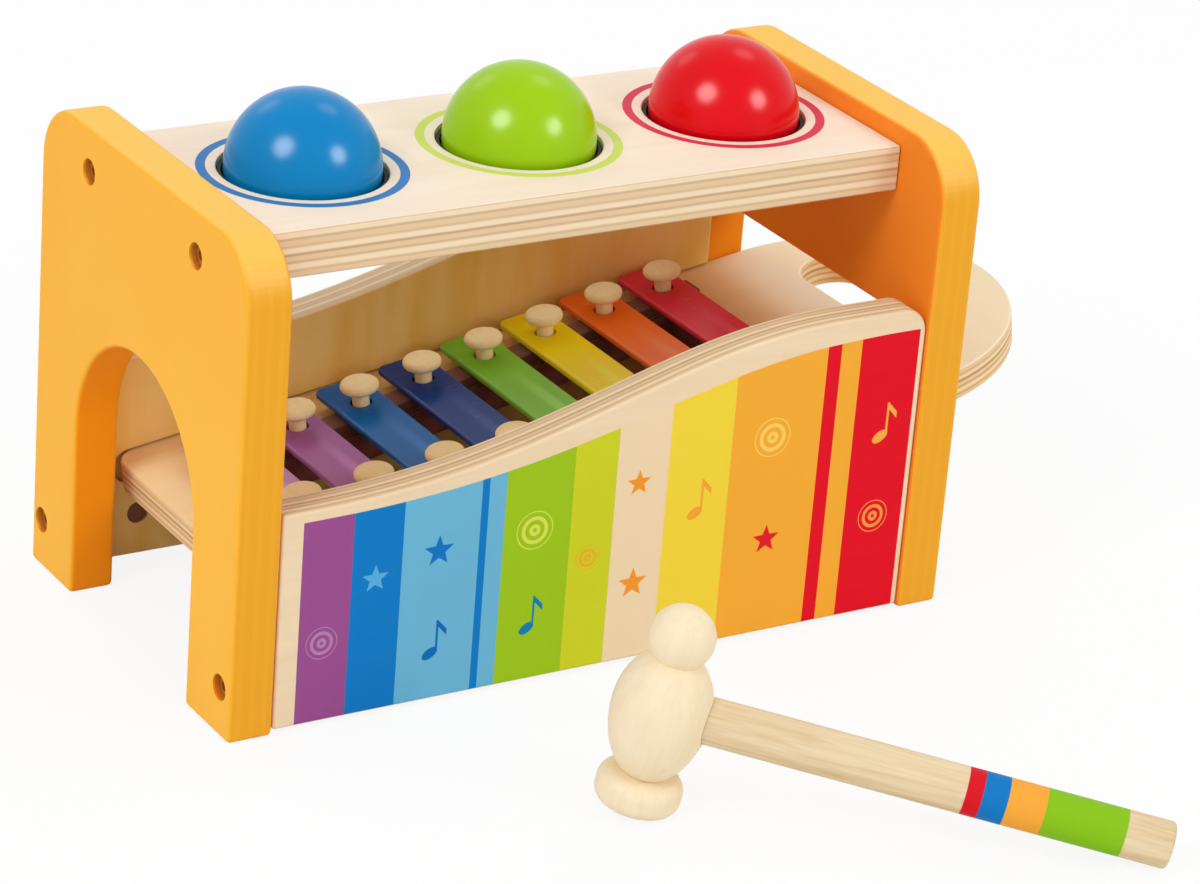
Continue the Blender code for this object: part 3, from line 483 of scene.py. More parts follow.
wood = {
    "pale": linear(249, 232, 211), "paleDark": linear(242, 219, 192),
    "edges": (linear(246, 224, 188), linear(226, 197, 156)), "glue": linear(160, 124, 90),
    "turned": linear(246, 229, 196), "turnedDark": linear(241, 220, 182),
    "handle": linear(233, 213, 176), "handleDark": linear(212, 180, 132),
    "peg": linear(255, 232, 178), "pegDark": linear(246, 213, 150),
    "border": linear(241, 218, 184), "borderDark": linear(231, 204, 166),
    "look": {"roughness": 0.44, "uneven": 0.16, "specular": 0.14, "bump": 0.3, "bumpDepth": 0.00012},
    # how fine the streaks and the slow bands of the grain are, across it and along it
    "fibres": (900.0, 26.0), "figure": (55.0, 7.0),
    # the glue lines between plies: their width, how dark they are, and how far they wander
    "line": 0.00066, "lineCore": 0.2, "lineShare": 0.56, "lineLeast": 0.72, "lineBeat": 2.2,
    "wander": 0.12, "waves": 60.0, "toneShare": 0.75, "toneFrom": 0.16, "toneTo": 0.34, "edgeStreaks": 0.25,
    # a pattern shows from the first value of its rise on, and by its whole share from the second
    "figureRise": (0.3, 0.75), "figureShare": 0.6, "fibresRise": (0.45, 0.8), "fibresShare": 0.3,
}


def fibres(finish, axis, fineness=wood["fibres"]):
    # thin streaks that run along one axis, 0 to 1
    return finish.grain(axis, fineness, 4.0, 0.6, 0.4)


def figure(finish, axis, fineness=wood["figure"]):
    # the slow light and dark bands of a board's face
    return finish.grain(axis, fineness, 2.0, 0.5, 1.2)


def plyLines(finish, coordinate, start, ply, line):
    # glue lines between plies that are stacked along a coordinate, and a tone that changes ply by ply
    wave = finish.noise(wood["waves"], 2.0)
    level = (coordinate - start) / ply + (wave - 0.5) * wood["wander"]
    near = level.pingpong(0.5) * ply
    least = wood["lineLeast"]
    lines = 1 - finish.rise(near, line * wood["lineCore"], line)
    lines = lines * (least + (1 - least) * (level * wood["lineBeat"]).cosine())
    tone = finish.rise((level * 0.5 + 0.25).pingpong(0.5), wood["toneFrom"], wood["toneTo"])
    return lines, tone


def veneer(finish, light, dark):
    # a face whose grain runs along x: its fine streaks and its colour
    streaks = fibres(finish, "x")
    share = finish.rise(figure(finish, "x"), *wood["figureRise"]) * wood["figureShare"]
    share = share + wood["fibresShare"] * finish.rise(streaks, *wood["fibresRise"])
    return streaks, finish.mix(share, light, dark)


def worn(streaks, wear):
    # how well a print covers the wood, which shows through a little between its streaks
    return (1 - wear) + wear * streaks


def plywood(finish, face, streaks, plies, edges=wood["edges"], look=wood["look"], paintedShade=None):
    # lacquered plywood: a face, and sawn edges wherever the surface turns away from the axis of its plies
    axis, start, ply, lineShare = plies
    side = finish.sawn(axis)
    lines, tone = plyLines(finish, getattr(finish, axis), start, ply, wood["line"])
    edge = finish.mix(tone * wood["toneShare"] + wood["edgeStreaks"] * streaks, *edges)
    colour = finish.mix(side, face, finish.mix(lines * lineShare, edge, wood["glue"]))
    # painted shade over a masked part, where one is given
    if paintedShade:
        shadeMask, shadeColour = paintedShade
        colour = finish.mix(shadeMask, colour, shadeColour)
    return finish.coat(look, colour, streaks, 0.5 * streaks - side * (0.8 * lines))


# End panels

endPanel = {
    "thickness": 0.0140, "height": 0.147, "corner": 0.018, "cornerSteps": 16,
    "archRadius": 0.038, "archSpring": 0.053, "archSteps": 28,
    "windowHalf": 0.0555, "windowLow": 0.05725, "windowHigh": 0.090, "windowCorner": 0.006,
    "bore": 0.0039, "boreDepth": 0.0055, "boreSides": 40,
    "boardScrewHalf": 0.0337, "boardScrewHeight": 0.1343, "sideScrewHeight": 0.0151, "sideMiddle": 0.00635,
    "eased": 0.0015, "easedSteps": 4,
    # painted shade: the outer faces darken towards the top, over their clouds
    "face": linear(251, 187, 58), "faceCloudsAndShade": linear(246, 173, 42), "shadeFrom": 0.060, "shadeTo": 0.145,
    # painted shade: the sawn edges are darker than the faces; painted light: where they face up they are
    # lighter
    "edge": linear(238, 168, 38), "edgeDark": linear(216, 140, 24), "edgeLitFromAbove": linear(250, 203, 96),
    # painted shade and bounced light: the faces inside the bench and the walls of the openings are a deeper
    # orange, redder on the right panel
    "inner": linear(252, 152, 10), "innerShadeDeep": linear(244, 138, 6), "innerRightShade": linear(246, 138, 36),
    "ply": 0.0020, "line": 0.00024, "revealHalf": 0.0600, "revealTop": 0.1300, "revealSoft": 0.001,
    # painted shade: the counterbores' walls are brown, from a little under the face
    "boreShade": linear(196, 124, 36), "boreShadeFrom": 0.0007, "boreShadeSoft": 0.0004,
    "fibres": (520.0, 30.0), "fibresShare": 0.12,
    "clouds": 9.0, "cloudsRise": (0.35, 0.7), "cloudsShare": 0.35, "shadeShare": 0.5,
    "litFromAboveRise": (0.15, 0.85), "litFromAboveShare": 0.75, "innerRise": (0.4, 0.8), "edgeLines": 0.16, "edgeTone": 0.10,
    "look": {"roughness": 0.38, "uneven": 0.10, "specular": 0.12, "bump": 0.25, "bumpDepth": 0.00012},
}
fastener = {
    "hole": 0.0024, "reach": 0.0200, "holeSides": 20,
    "nutRadius": 0.0035, "nutSkin": 0.0022, "nutFromPanel": 0.0147, "nutSides": 32,
}


def screwPlaces():
    sideY = middleY - endPanel["sideMiddle"]
    boardY = endPanel["boardScrewHalf"]
    return {
        "front_panel": (middleY - sideY, endPanel["sideScrewHeight"]),
        "back_panel": (middleY + sideY, endPanel["sideScrewHeight"]),
        "front_board": (middleY - boardY, endPanel["boardScrewHeight"]),
        "back_board": (middleY + boardY, endPanel["boardScrewHeight"]),
    }


def fromEnd(end, inside):
    # a place along the bench, this far in from one of its ends
    return inside if end == "left" else bench["length"] - inside


def nutX(end):
    return fromEnd(end, endPanel["thickness"] + fastener["nutFromPanel"])


def screwFrame(end, y, z):
    # out of the end panel along z, from the counterbore's floor
    turn = -pi / 2 if end == "left" else pi / 2
    return Matrix.Translation((fromEnd(end, endPanel["boreDepth"]), y, z)) @ Matrix.Rotation(turn, 4, "Y")


def fastenerCutters(names, nutMouth, thickness):
    # the screws' bores and the barrel nuts' cross holes in one piece, at both of its ends
    deep = endPanel["thickness"] - endPanel["boreDepth"] + fastener["reach"]
    bores = []
    nuts = []
    for end in ("left", "right"):
        for name in names:
            y, z = screwPlaces()[name]
            bores.append(screwFrame(end, y, z) @ Matrix.Translation((0, 0, -deep)))
            nuts.append(nutMouth(nutX(end), y, z))
    boreLength = fastener["reach"] + bench["overrun"]
    nutLength = thickness - fastener["nutSkin"] + bench["overrun"]
    return (
        rods(bores, fastener["hole"], boreLength, fastener["holeSides"]),
        rods(nuts, fastener["nutRadius"], nutLength, fastener["nutSides"]),
    )


def orangePaint():
    finish = Finish("orangePaint", benchFrame)
    panel = endPanel
    streaks = fibres(finish, "z", panel["fibres"])
    clouds = finish.noise(panel["clouds"], 2.0)
    sideways = finish.sawn("x")
    # the walls of the arch and of the window
    half, top, soft = panel["revealHalf"], panel["revealTop"], panel["revealSoft"]
    reveal = sideways * (1 - finish.rise(abs(finish.y - middleY), half, half + soft))
    reveal = reveal * (1 - finish.rise(finish.z, top, top + soft))
    # painted light: the sawn edges that face up
    litFromAbove = finish.rise(finish.facing("z"), *panel["litFromAboveRise"]) * (1 - reveal)
    # the faces that look into the bench, painted a deeper orange as painted shade and bounced light
    atRight = finish.x > bench["length"] / 2
    inner = reveal.larger(finish.rise(finish.facing("x") * (1 - 2 * atRight), *panel["innerRise"]))
    outside = sideways * (1 - inner)
    lines, tone = plyLines(finish, finish.x, 0.0, panel["ply"], panel["line"])
    share = finish.rise(clouds, *panel["cloudsRise"]) * panel["cloudsShare"] + panel["fibresShare"] * streaks
    # painted shade: darker towards the top
    shadeTowardsTop = panel["shadeShare"] * finish.rise(finish.z, panel["shadeFrom"], panel["shadeTo"])
    colour = finish.mix((share + shadeTowardsTop).smaller(1.0), panel["face"], panel["faceCloudsAndShade"])
    # painted shade: the sawn edges are darker than the faces, with faint ply lines
    edge = finish.mix(panel["edgeLines"] * lines + panel["edgeTone"] * tone, panel["edge"], panel["edgeDark"])
    colour = finish.mix(outside, colour, finish.mix(litFromAbove * panel["litFromAboveShare"], edge, panel["edgeLitFromAbove"]))
    innerShadeColour = finish.mix(share, panel["inner"], panel["innerShadeDeep"])
    # painted shade: the right panel's inner face is redder
    innerShadeColour = finish.mix(atRight * (1 - reveal), innerShadeColour, panel["innerRightShade"])
    colour = finish.mix(inner, colour, innerShadeColour)
    # painted shade in the counterbores
    boreShadeStart = panel["boreShadeFrom"]
    deep = finish.within(finish.x, boreShadeStart, bench["length"] - boreShadeStart, panel["boreShadeSoft"])
    for y, z in screwPlaces().values():
        inBore = (finish.y - y) ** 2 + (finish.z - z) ** 2 < (panel["bore"] + bench["gap"]) ** 2
        colour = finish.mix(inBore * deep, colour, panel["boreShade"])
    height = 0.5 * streaks - outside * (0.3 * lines + 0.1 * tone)
    return finish.coat(panel["look"], colour, clouds + 0.5 * streaks, height)


def openingCutter(end, low, high):
    # the left panel's arch, cut up from below the floor, or the right panel's window
    panel, over = endPanel, bench["overrun"]
    if end == "left":
        half = panel["archRadius"]
        bottom, top = -half, panel["archSpring"] + half
        radius, steps = half * bench["roundShare"], panel["archSteps"]
    else:
        half = panel["windowHalf"]
        bottom, top = panel["windowLow"], panel["windowHigh"]
        radius, steps = panel["windowCorner"], panel["cornerSteps"] // 2
    cutter = boxMesh((low - over, middleY - half, bottom), (high + over, middleY + half, top))
    roundEdges(cutter, edgesAlong(cutter, 0, lambda middle: middle.z > bottom + over), radius, steps)
    weld(cutter)
    return cutter


def makeEndPanels():
    paint = orangePaint()
    thick, high, over = endPanel["thickness"], endPanel["height"], bench["overrun"]
    for end in ("left", "right"):
        low = 0 if end == "left" else bench["length"] - thick
        bm = boxMesh((low, 0, 0), (low + thick, bench["depth"], high))
        top = edgesAlong(bm, 0, lambda middle: middle.z > high / 2)
        roundEdges(bm, top, endPanel["corner"], endPanel["cornerSteps"])
        bm = cutAway(bm, openingCutter(end, low, low + thick))
        roundEdges(bm, sharpEdges(bm), endPanel["eased"], endPanel["easedSteps"])
        frames = [screwFrame(end, y, z) for y, z in screwPlaces().values()]
        bores = rods(frames, endPanel["bore"], endPanel["boreDepth"] + over, endPanel["boreSides"])
        deep = thick - endPanel["boreDepth"] + over
        behind = [place @ Matrix.Translation((0, 0, -deep)) for place in frames]
        bm = cutAway(bm, bores, rods(behind, fastener["hole"], deep + over, fastener["holeSides"]))
        addPiece(end + "EndPanel", bm, benchFrame, paint, "bench", [end + "_end_panel"])


makeEndPanels()
print("end panels made")


# Top board, balls and rings

board = {
    "width": 0.084, "thickness": 0.014, "bottom": 0.1273, "eased": 0.0006, "easedSteps": 2,
    "hole": 0.0244, "pitch": 0.0702, "holeSides": 96, "beadRadius": 0.0258, "beadHeight": 0.0042,
    "printInner": 0.0274, "printOuter": 0.0302, "printUnder": 0.0005, "printSoft": 0.0002, "wear": 0.04,
    "ply": 0.00233,
}
balls = {
    "radius": 0.0225, "above": 0.0007, "around": 96, "up": 64,
    "blue": linear(0, 130, 194), "green": linear(158, 204, 12), "red": linear(226, 2, 20),
    "clouds": 60.0, "cloudsRise": (0.3, 0.8), "cloudsShare": 0.3, "dark": 0.84,
    "fleck": 420.0, "fleckShare": 0.05,
    "look": {"roughness": 0.19, "uneven": 0.04, "specular": 0.15, "bump": 0.08, "bumpDepth": 0.0004},
    "bluePrint": linear(40, 120, 184), "greenPrint": linear(204, 220, 96), "redPrint": linear(216, 40, 76),
}
ring = {
    "wall": 0.0010, "bead": 0.0011, "beadHeight": 0.0036, "topSetback": 0.0012,
    "lipRadius": 0.0020, "lipDrop": 0.0010, "steps": 72, "lipSteps": 12,
    "black": (0.016, 0.014, 0.012, 1), "worn": (0.042, 0.035, 0.030, 1), "speckle": 900.0,
    "look": {"roughness": 0.55, "uneven": 0.25, "specular": 0.25, "bump": 0.2, "bumpDepth": 0.0001},
}
boardMiddle = board["bottom"] + board["thickness"] / 2
ballHeight = board["bottom"] + board["thickness"] + balls["above"]
ballNames = ("blue", "green", "red")
holeX = {name: bench["length"] / 2 + (step - 1) * board["pitch"] for step, name in enumerate(ballNames)}


def boardWood():
    finish = Finish("printedBoard", benchFrame)
    streaks, face = veneer(finish, wood["pale"], wood["paleDark"])
    surface = board["bottom"] + board["thickness"]
    under, soft = board["printUnder"], board["printSoft"]
    top = finish.rise(finish.z, surface - under - soft, surface - under + soft)
    for name in ballNames:
        values = {0: finish.place, 1: (holeX[name], middleY, surface)}
        away = finish.node("ShaderNodeVectorMath", {"operation": "DISTANCE"}, values, "Value")
        printed = finish.within(away, board["printInner"], board["printOuter"])
        face = finish.mix(printed * top * worn(streaks, board["wear"]), face, balls[name + "Print"])
    return plywood(finish, face, streaks, ("z", board["bottom"], board["ply"], wood["lineShare"]))


def makeTopBoard():
    over = bench["overrun"]
    half = board["width"] / 2
    inner = endPanel["thickness"] + bench["gap"]
    low, high = board["bottom"], board["bottom"] + board["thickness"]
    bm = boxMesh((inner, middleY - half, low), (bench["length"] - inner, middleY + half, high))
    holes = [Matrix.Translation((x, middleY, low - over)) for x in holeX.values()]
    bm = cutAway(bm, rods(holes, board["hole"], board["thickness"] + 2 * over, board["holeSides"]))
    roundEdges(bm, sharpEdges(bm), board["eased"], board["easedSteps"])
    beadLow = boardMiddle - board["beadHeight"] / 2
    grooves = [Matrix.Translation((x, middleY, beadLow)) for x in holeX.values()]
    beads = rods(grooves, board["beadRadius"], board["beadHeight"], board["holeSides"])
    bores, nuts = fastenerCutters(
        ("front_board", "back_board"),
        lambda x, y, z: Matrix.Translation((x, y, low - over)),
        board["thickness"],
    )
    bm = cutAway(bm, beads, bores, nuts)
    addPiece("topBoard", bm, benchFrame, boardWood(), "bench", ["top_board"])


def ballPaint(name):
    finish = Finish(name + "BallPaint", benchFrame)
    clouds = finish.noise(balls["clouds"], 2.0)
    fleck = finish.noise(balls["fleck"], 3.0)
    share = finish.rise(clouds, *balls["cloudsRise"]) * balls["cloudsShare"]
    colour = finish.mix(share, balls[name], shaded(balls[name], balls["dark"]))
    return finish.coat(balls["look"], colour, clouds, clouds + balls["fleckShare"] * fleck)


def rubberFinish():
    finish = Finish("darkRubber", benchFrame)
    speckle = finish.noise(ring["speckle"], 3.0)
    return finish.coat(ring["look"], finish.mix(speckle, ring["black"], ring["worn"]), speckle, speckle)


def makeBallsAndRings():
    rubber = rubberFinish()
    outer = board["hole"] - bench["gap"]
    inner = outer - ring["wall"]
    top = board["thickness"] / 2 - ring["topSetback"]
    bead = ring["beadHeight"] / 2
    drop = ballHeight - boardMiddle + ring["lipDrop"]
    lipCentre = sqrt((balls["radius"] + ring["lipRadius"] + bench["gap"]) ** 2 - drop ** 2)
    profile = [(inner, top), (outer, top), (outer, bead), (outer + ring["bead"], bead)]
    profile += [(outer + ring["bead"], -bead), (outer, -bead), (outer, -top), (inner, -top)]
    # the lip that grips the ball, an arc that bulges inwards
    lip = (4 * pi / 3, 2 * pi / 3, ring["lipSteps"])
    profile += arcPoints(lipCentre, -ring["lipDrop"], ring["lipRadius"], *lip)
    for name in ballNames:
        bm = turnedMesh(profile, ring["steps"], closed=True)
        place = benchFrame @ Matrix.Translation((holeX[name], middleY, boardMiddle))
        addPiece(name + "Ring", bm, place, rubber, "bench", ["ball_ring_" + name])
        bm = bmesh.new()
        around, up = balls["around"], balls["up"]
        bmesh.ops.create_uvsphere(bm, u_segments=around, v_segments=up, radius=balls["radius"])
        place = benchFrame @ Matrix.Translation((holeX[name], middleY, ballHeight))
        paint, body, slotName = ballPaint(name), name + "_ball", "ball_paint_" + name
        addPiece(name + "Ball", bm, place, paint, body, ["ball_" + name])


makeTopBoard()
makeBallsAndRings()
print("top board, balls and rings made")


# Front and back panels

sidePanel = {
    "thickness": 0.0115, "inset": 0.0006, "bottom": 0.0013, "corner": 0.008, "cornerSteps": 10,
    "high": 0.0986, "middleX": 0.122, "crestX": 0.200,
    # the left height of each wave, and how far it is shifted along the bench
    "front": (0.0674, 0.0), "back": (0.0660, 0.010),
    "slope": 0.29, "middleShare": 0.548, "lowHandleShare": 0.42, "middleHandleShare": 0.35, "waveSteps": 26,
    "flat": 0.0005, "grooveShare": 0.999, "grooveSteps": 8,
    "ply": 0.00192, "frontLineShare": 0.60, "backLineShare": 0.30, "frontRise": (0.6, 0.9),
    # painted shade and bounced light: the colours of the veneer inside the bench
    "inside": linear(254, 216, 136), "insideShadeDark": linear(245, 196, 90), "fibresShare": 0.2,
    "clouds": (70.0, 14.0), "cloudsRise": (0.32, 0.72), "cloudsShare": 0.8,
    # painted shade inside the bores of the barrel nuts
    "bore": linear(104, 62, 38), "boreFrom": 0.001, "boreSoft": 0.0004,
}
tray = {
    "thickness": 0.010, "width": 0.110, "length": 0.2756, "startX": 0.0199, "startHeight": 0.0349,
    "corner": 0.009, "cornerSteps": 12, "tipSteps": 56, "tipWeld": 1e-5, "eased": 0.0009,
    "sideClearance": 0.0005, "play": 0.0007, "stop": 0.0002,
    "slotFromTip": 0.0382, "slotRadius": 0.0105, "slotLength": 0.0706, "slotSteps": 16,
    "ply": 0.0020, "lineShare": 0.80, "top": linear(254, 226, 174), "topDark": linear(246, 212, 156),
    # painted light: the tip, which stands out from under the board, is lighter
    "tip": linear(253, 242, 212), "tipFrom": 0.202, "tipTo": 0.222, "tipLightShare": 0.9,
    # painted shade and bounced light: the wood is deeper and warmer in colour among the keys, under the board
    "shadeAmongKeys": linear(236, 182, 106), "keysFrom": 0.018, "keysTo": 0.202, "keysSoft": 0.010,
    "keysShare": 0.45, "keysStreaks": 0.15,
    # painted shade: the dark colour of the walls of the slot under the keys
    "edges": (linear(250, 217, 168), linear(236, 198, 146)), "slotShade": linear(146, 84, 72),
}
trayStart = Matrix.Translation((tray["startX"], middleY, tray["startHeight"]))
trayFrame = benchFrame @ trayStart @ Matrix.Rotation(-slope, 4, "Y")

stripes = {
    # each stripe starts this far along the bench, in metres; the end closes the last one
    "bands": (
        (0.0209, linear(152, 78, 142)),
        (0.0363, linear(0, 121, 196)),
        (0.0519, linear(106, 180, 214)),
        (0.0768, linear(0, 121, 196)),
        (0.0793, linear(106, 180, 214)),
        (0.0846, linear(156, 196, 26)),
        (0.1067, linear(204, 208, 36)),
        (0.1210, linear(239, 214, 176)),
        (0.1387, linear(242, 212, 60)),
        (0.1602, linear(244, 171, 52)),
        (0.1906, linear(226, 6, 34)),
        (0.1953, linear(244, 171, 52)),
        (0.2025, linear(226, 6, 34)),
    ),
    "end": 0.2236,
    # the print follows the panel's edge, a little flatter and a little further along
    "topLow": 0.0641, "topShare": 0.885, "topShift": 0.0100, "topSoft": 0.0001, "every": 8, "wear": 0.01,
    "look": {**wood["look"], "specular": 0.05},
}
motifs = (
    # kind, place along and up the panel, size, colour
    ("rings", 0.0283, 0.0260, 0.0050, linear(180, 126, 176)),
    ("star", 0.0443, 0.0430, 0.0044, linear(84, 172, 222)),
    ("note", 0.0633, 0.0160, 0.0082, linear(0, 104, 186)),
    ("star", 0.0643, 0.0480, 0.0050, linear(0, 116, 194)),
    ("rings", 0.0953, 0.0490, 0.0060, linear(214, 224, 84)),
    ("note", 0.0948, 0.0180, 0.0080, linear(0, 128, 170)),
    ("star", 0.1298, 0.0260, 0.0050, linear(243, 150, 40)),
    ("rings", 0.1138, 0.0370, 0.0040, linear(236, 172, 40)),
    ("star", 0.1293, 0.0580, 0.0042, linear(243, 150, 40)),
    ("note", 0.1493, 0.0450, 0.0084, linear(244, 166, 48)),
    ("rings", 0.1743, 0.0650, 0.0062, linear(249, 206, 96)),
    ("star", 0.1753, 0.0320, 0.0048, linear(226, 24, 38)),
    ("rings", 0.2133, 0.0330, 0.0052, linear(244, 150, 70)),
    ("note", 0.2128, 0.0590, 0.0086, linear(244, 172, 68)),
)


def wavePoints(side, further=0.0):
    # the top edge of a front or back panel, from its left end to the flat crest
    panel = sidePanel
    low, shift = panel[side]
    left = endPanel["thickness"] + bench["gap"]
    start = Vector((left, low))
    middleHeight = low + (panel["high"] - low) * panel["middleShare"]
    middle = Vector((panel["middleX"] + shift + further, middleHeight))
    crest = Vector((panel["crestX"] + shift + further, panel["high"]))
    steep = Vector((1, panel["slope"])) * panel["middleHandleShare"]
    flat = Vector((panel["lowHandleShare"], 0))
    before, after = middle.x - start.x, crest.x - middle.x
    count = panel["waveSteps"] + 1
    first = interpolate_bezier(start, start + flat * before, middle - steep * before, middle, count)
    second = interpolate_bezier(middle, middle + steep * after, crest - flat * after, crest, count)
    return [(point.x, point.y) for point in first + second[1:]] + [(bench["length"] - left, panel["high"])]


def starMask(across, up, outer):
    # a five-point star about the origin of two coordinates
    notchShare = 0.42
    tip, notch = Vector((outer, 0)), Vector((cos(pi / 5), sin(pi / 5))) * outer * notchShare
    side = notch - tip
    lean = atan2(-side.x, side.y)
    reach = (across * across + up * up).root()
    return reach * (across.angle(up).pingpong(pi / 5) - lean).cosine() < outer * cos(lean)


def ringsMask(across, up, outer):
    # a ring inside another, and a dot
    spacing, width = outer / 2.4, outer / 5.0
    reach = (across * across + up * up).root()
    return (abs((reach % spacing) - spacing / 2) < width / 2) * (reach < outer)


def noteMask(across, up, size):
    # a plain note, drawn in shares of its size: a slanted oval head, a stem and a short flag
    within = across.finish.within
    head = (across / (0.30 * size)) ** 2 + ((up - 0.35 * across) / (0.21 * size)) ** 2 < 1.0
    stem = within(across, 0.20 * size, 0.29 * size) * within(up, 0.0, 1.25 * size)
    drop = up + 1.1 * (across - 0.25 * size)
    flag = within(across, 0.25 * size, 0.62 * size) * within(drop, 1.02 * size, 1.26 * size)
    return head.larger(stem).larger(flag)


def printTop(finish):
    # the height at which the print ends
    length, tall = bench["length"], sidePanel["high"]
    wave = wavePoints("front", stripes["topShift"])[::stripes["every"]]
    points = [(x / length, z / tall) for x, z in wave]
    points = [(0.0, points[0][1])] + points + [(1.0, 1.0)]
    edge = finish.node("ShaderNodeFloatCurve", {"points": points}, {"Value": finish.x / length}) * tall
    return stripes["topLow"] + (edge - sidePanel["front"][0]) * stripes["topShare"]


def facesFront(finish):
    # 1 where the surface looks to the front of the bench
    return finish.rise(0 - finish.facing("y"), *sidePanel["frontRise"])


def printedWood():
    finish = Finish("printedPanel", benchFrame)
    streaks, face = veneer(finish, wood["border"], wood["borderDark"])
    ink, along = finish.banded(stripes["bands"], stripes["end"])
    masks = {"star": starMask, "rings": ringsMask, "note": noteMask}
    for kind, x, z, size, colour in motifs:
        ink = finish.mix(masks[kind](finish.x - x, finish.z - z, size), ink, colour)
    soft = stripes["topSoft"]
    printed = along * finish.rise(printTop(finish) - finish.z, -soft, soft)
    face = finish.mix(printed * facesFront(finish) * worn(streaks, stripes["wear"]), face, ink)
    plies = ("y", sidePanel["inset"], sidePanel["ply"], sidePanel["frontLineShare"])
    return plywood(finish, face, streaks, plies, look=stripes["look"])


def plainSideWood():
    finish = Finish("plainPanel", benchFrame)
    panel = sidePanel
    streaks, face = veneer(finish, wood["pale"], wood["paleDark"])
    # the veneer inside is painted warmer and deeper, as painted shade and bounced light, with upright clouds
    # in it
    clouds = finish.grain("z", panel["clouds"], 3.0, 0.55, 0.3)
    share = finish.rise(clouds, *panel["cloudsRise"]) * panel["cloudsShare"] + panel["fibresShare"] * streaks
    inside = finish.mix(share, panel["inside"], panel["insideShadeDark"])
    face = finish.mix(facesFront(finish), face, inside)
    # painted shade: the bores of the barrel nuts are dark inside
    first = bench["depth"] - panel["inset"] - panel["thickness"]
    last = first + panel["thickness"] - panel["boreFrom"]
    depth = finish.within(finish.y, first + panel["boreFrom"], last, panel["boreSoft"])
    for end in ("left", "right"):
        fromNut = (finish.x - nutX(end)) ** 2 + (finish.z - endPanel["sideScrewHeight"]) ** 2
        inBore = fromNut < (fastener["nutRadius"] + bench["gap"]) ** 2
        face = finish.mix(inBore * depth, face, panel["bore"])
    return plywood(finish, face, streaks, ("y", first, panel["ply"], panel["backLineShare"]))


def grooveCutter():
    # the room that the tray slides in, closed at the left by a round end
    radius = (tray["thickness"] + bench["gap"] + tray["play"]) / 2
    middleW = tray["play"] - radius
    inGroove = tray["width"] / 2 - (middleY - sidePanel["inset"] - sidePanel["thickness"])
    cornerStart = tray["corner"] - sqrt(tray["corner"] ** 2 - (tray["corner"] - inGroove) ** 2)
    cornerW = max(abs(middleW), abs(tray["thickness"] + middleW))
    centreU = cornerStart - tray["stop"] + sqrt(radius ** 2 - cornerW ** 2)
    half = tray["width"] / 2 + tray["sideClearance"]
    bm = boxMesh((centreU - radius, -half, middleW - radius), (tray["length"], half, middleW + radius))
    ends = edgesAlong(bm, 1, lambda middle: middle.x < centreU)
    roundEdges(bm, ends, radius * sidePanel["grooveShare"], sidePanel["grooveSteps"])
    bmesh.ops.transform(bm, matrix=benchFrame.inverted() @ trayFrame, verts=bm.verts)
    return bm


def waveMesh(points, y):
    # a slab under a wavy top edge, with its right top corner rounded
    panel = sidePanel
    bm = bmesh.new()
    bmesh.ops.create_grid(bm, x_segments=len(points) - 1, y_segments=1, size=0.5)
    columns = sorted(bm.verts, key=lambda vert: (round(vert.co.x, 5), vert.co.y))
    for index, (x, z) in enumerate(points):
        columns[2 * index].co = (x, y, panel["bottom"])
        columns[2 * index + 1].co = (x, y, z)
    thicken(bm, (0, panel["thickness"], 0))
    right, above = points[-1][0] - bench["gap"], panel["bottom"] + bench["overrun"]
    corner = edgesAlong(bm, 1, lambda middle: middle.x > right and middle.z > above)
    roundEdges(bm, corner, panel["corner"], panel["cornerSteps"])
    flat = [edge for edge in bm.edges if len(edge.link_faces) == 2 and turnAt(edge) < panel["flat"]]
    bmesh.ops.dissolve_edges(bm, edges=flat, use_verts=False)
    roundEdges(bm, sharpEdges(bm), bench["eased"], bench["easedSteps"])
    return bm


def makeSidePanels():
    finishes = {"front": printedWood(), "back": plainSideWood()}
    for side, sign in (("front", -1), ("back", 1)):
        outer = middleY + sign * (middleY - sidePanel["inset"])
        inner = outer - sign * sidePanel["thickness"]
        turn = Matrix.Rotation(-sign * pi / 2, 4, "X")
        bores, nuts = fastenerCutters(
            (side + "_panel",),
            lambda x, y, z: Matrix.Translation((x, inner - sign * bench["overrun"], z)) @ turn,
            sidePanel["thickness"],
        )
        bm = cutAway(waveMesh(wavePoints(side), min(outer, inner)), grooveCutter(), bores, nuts)
        addPiece(side + "Panel", bm, benchFrame, finishes[side], "bench", [side + "_panel"])


makeSidePanels()
print("front and back panels made")


# Tray with its keys

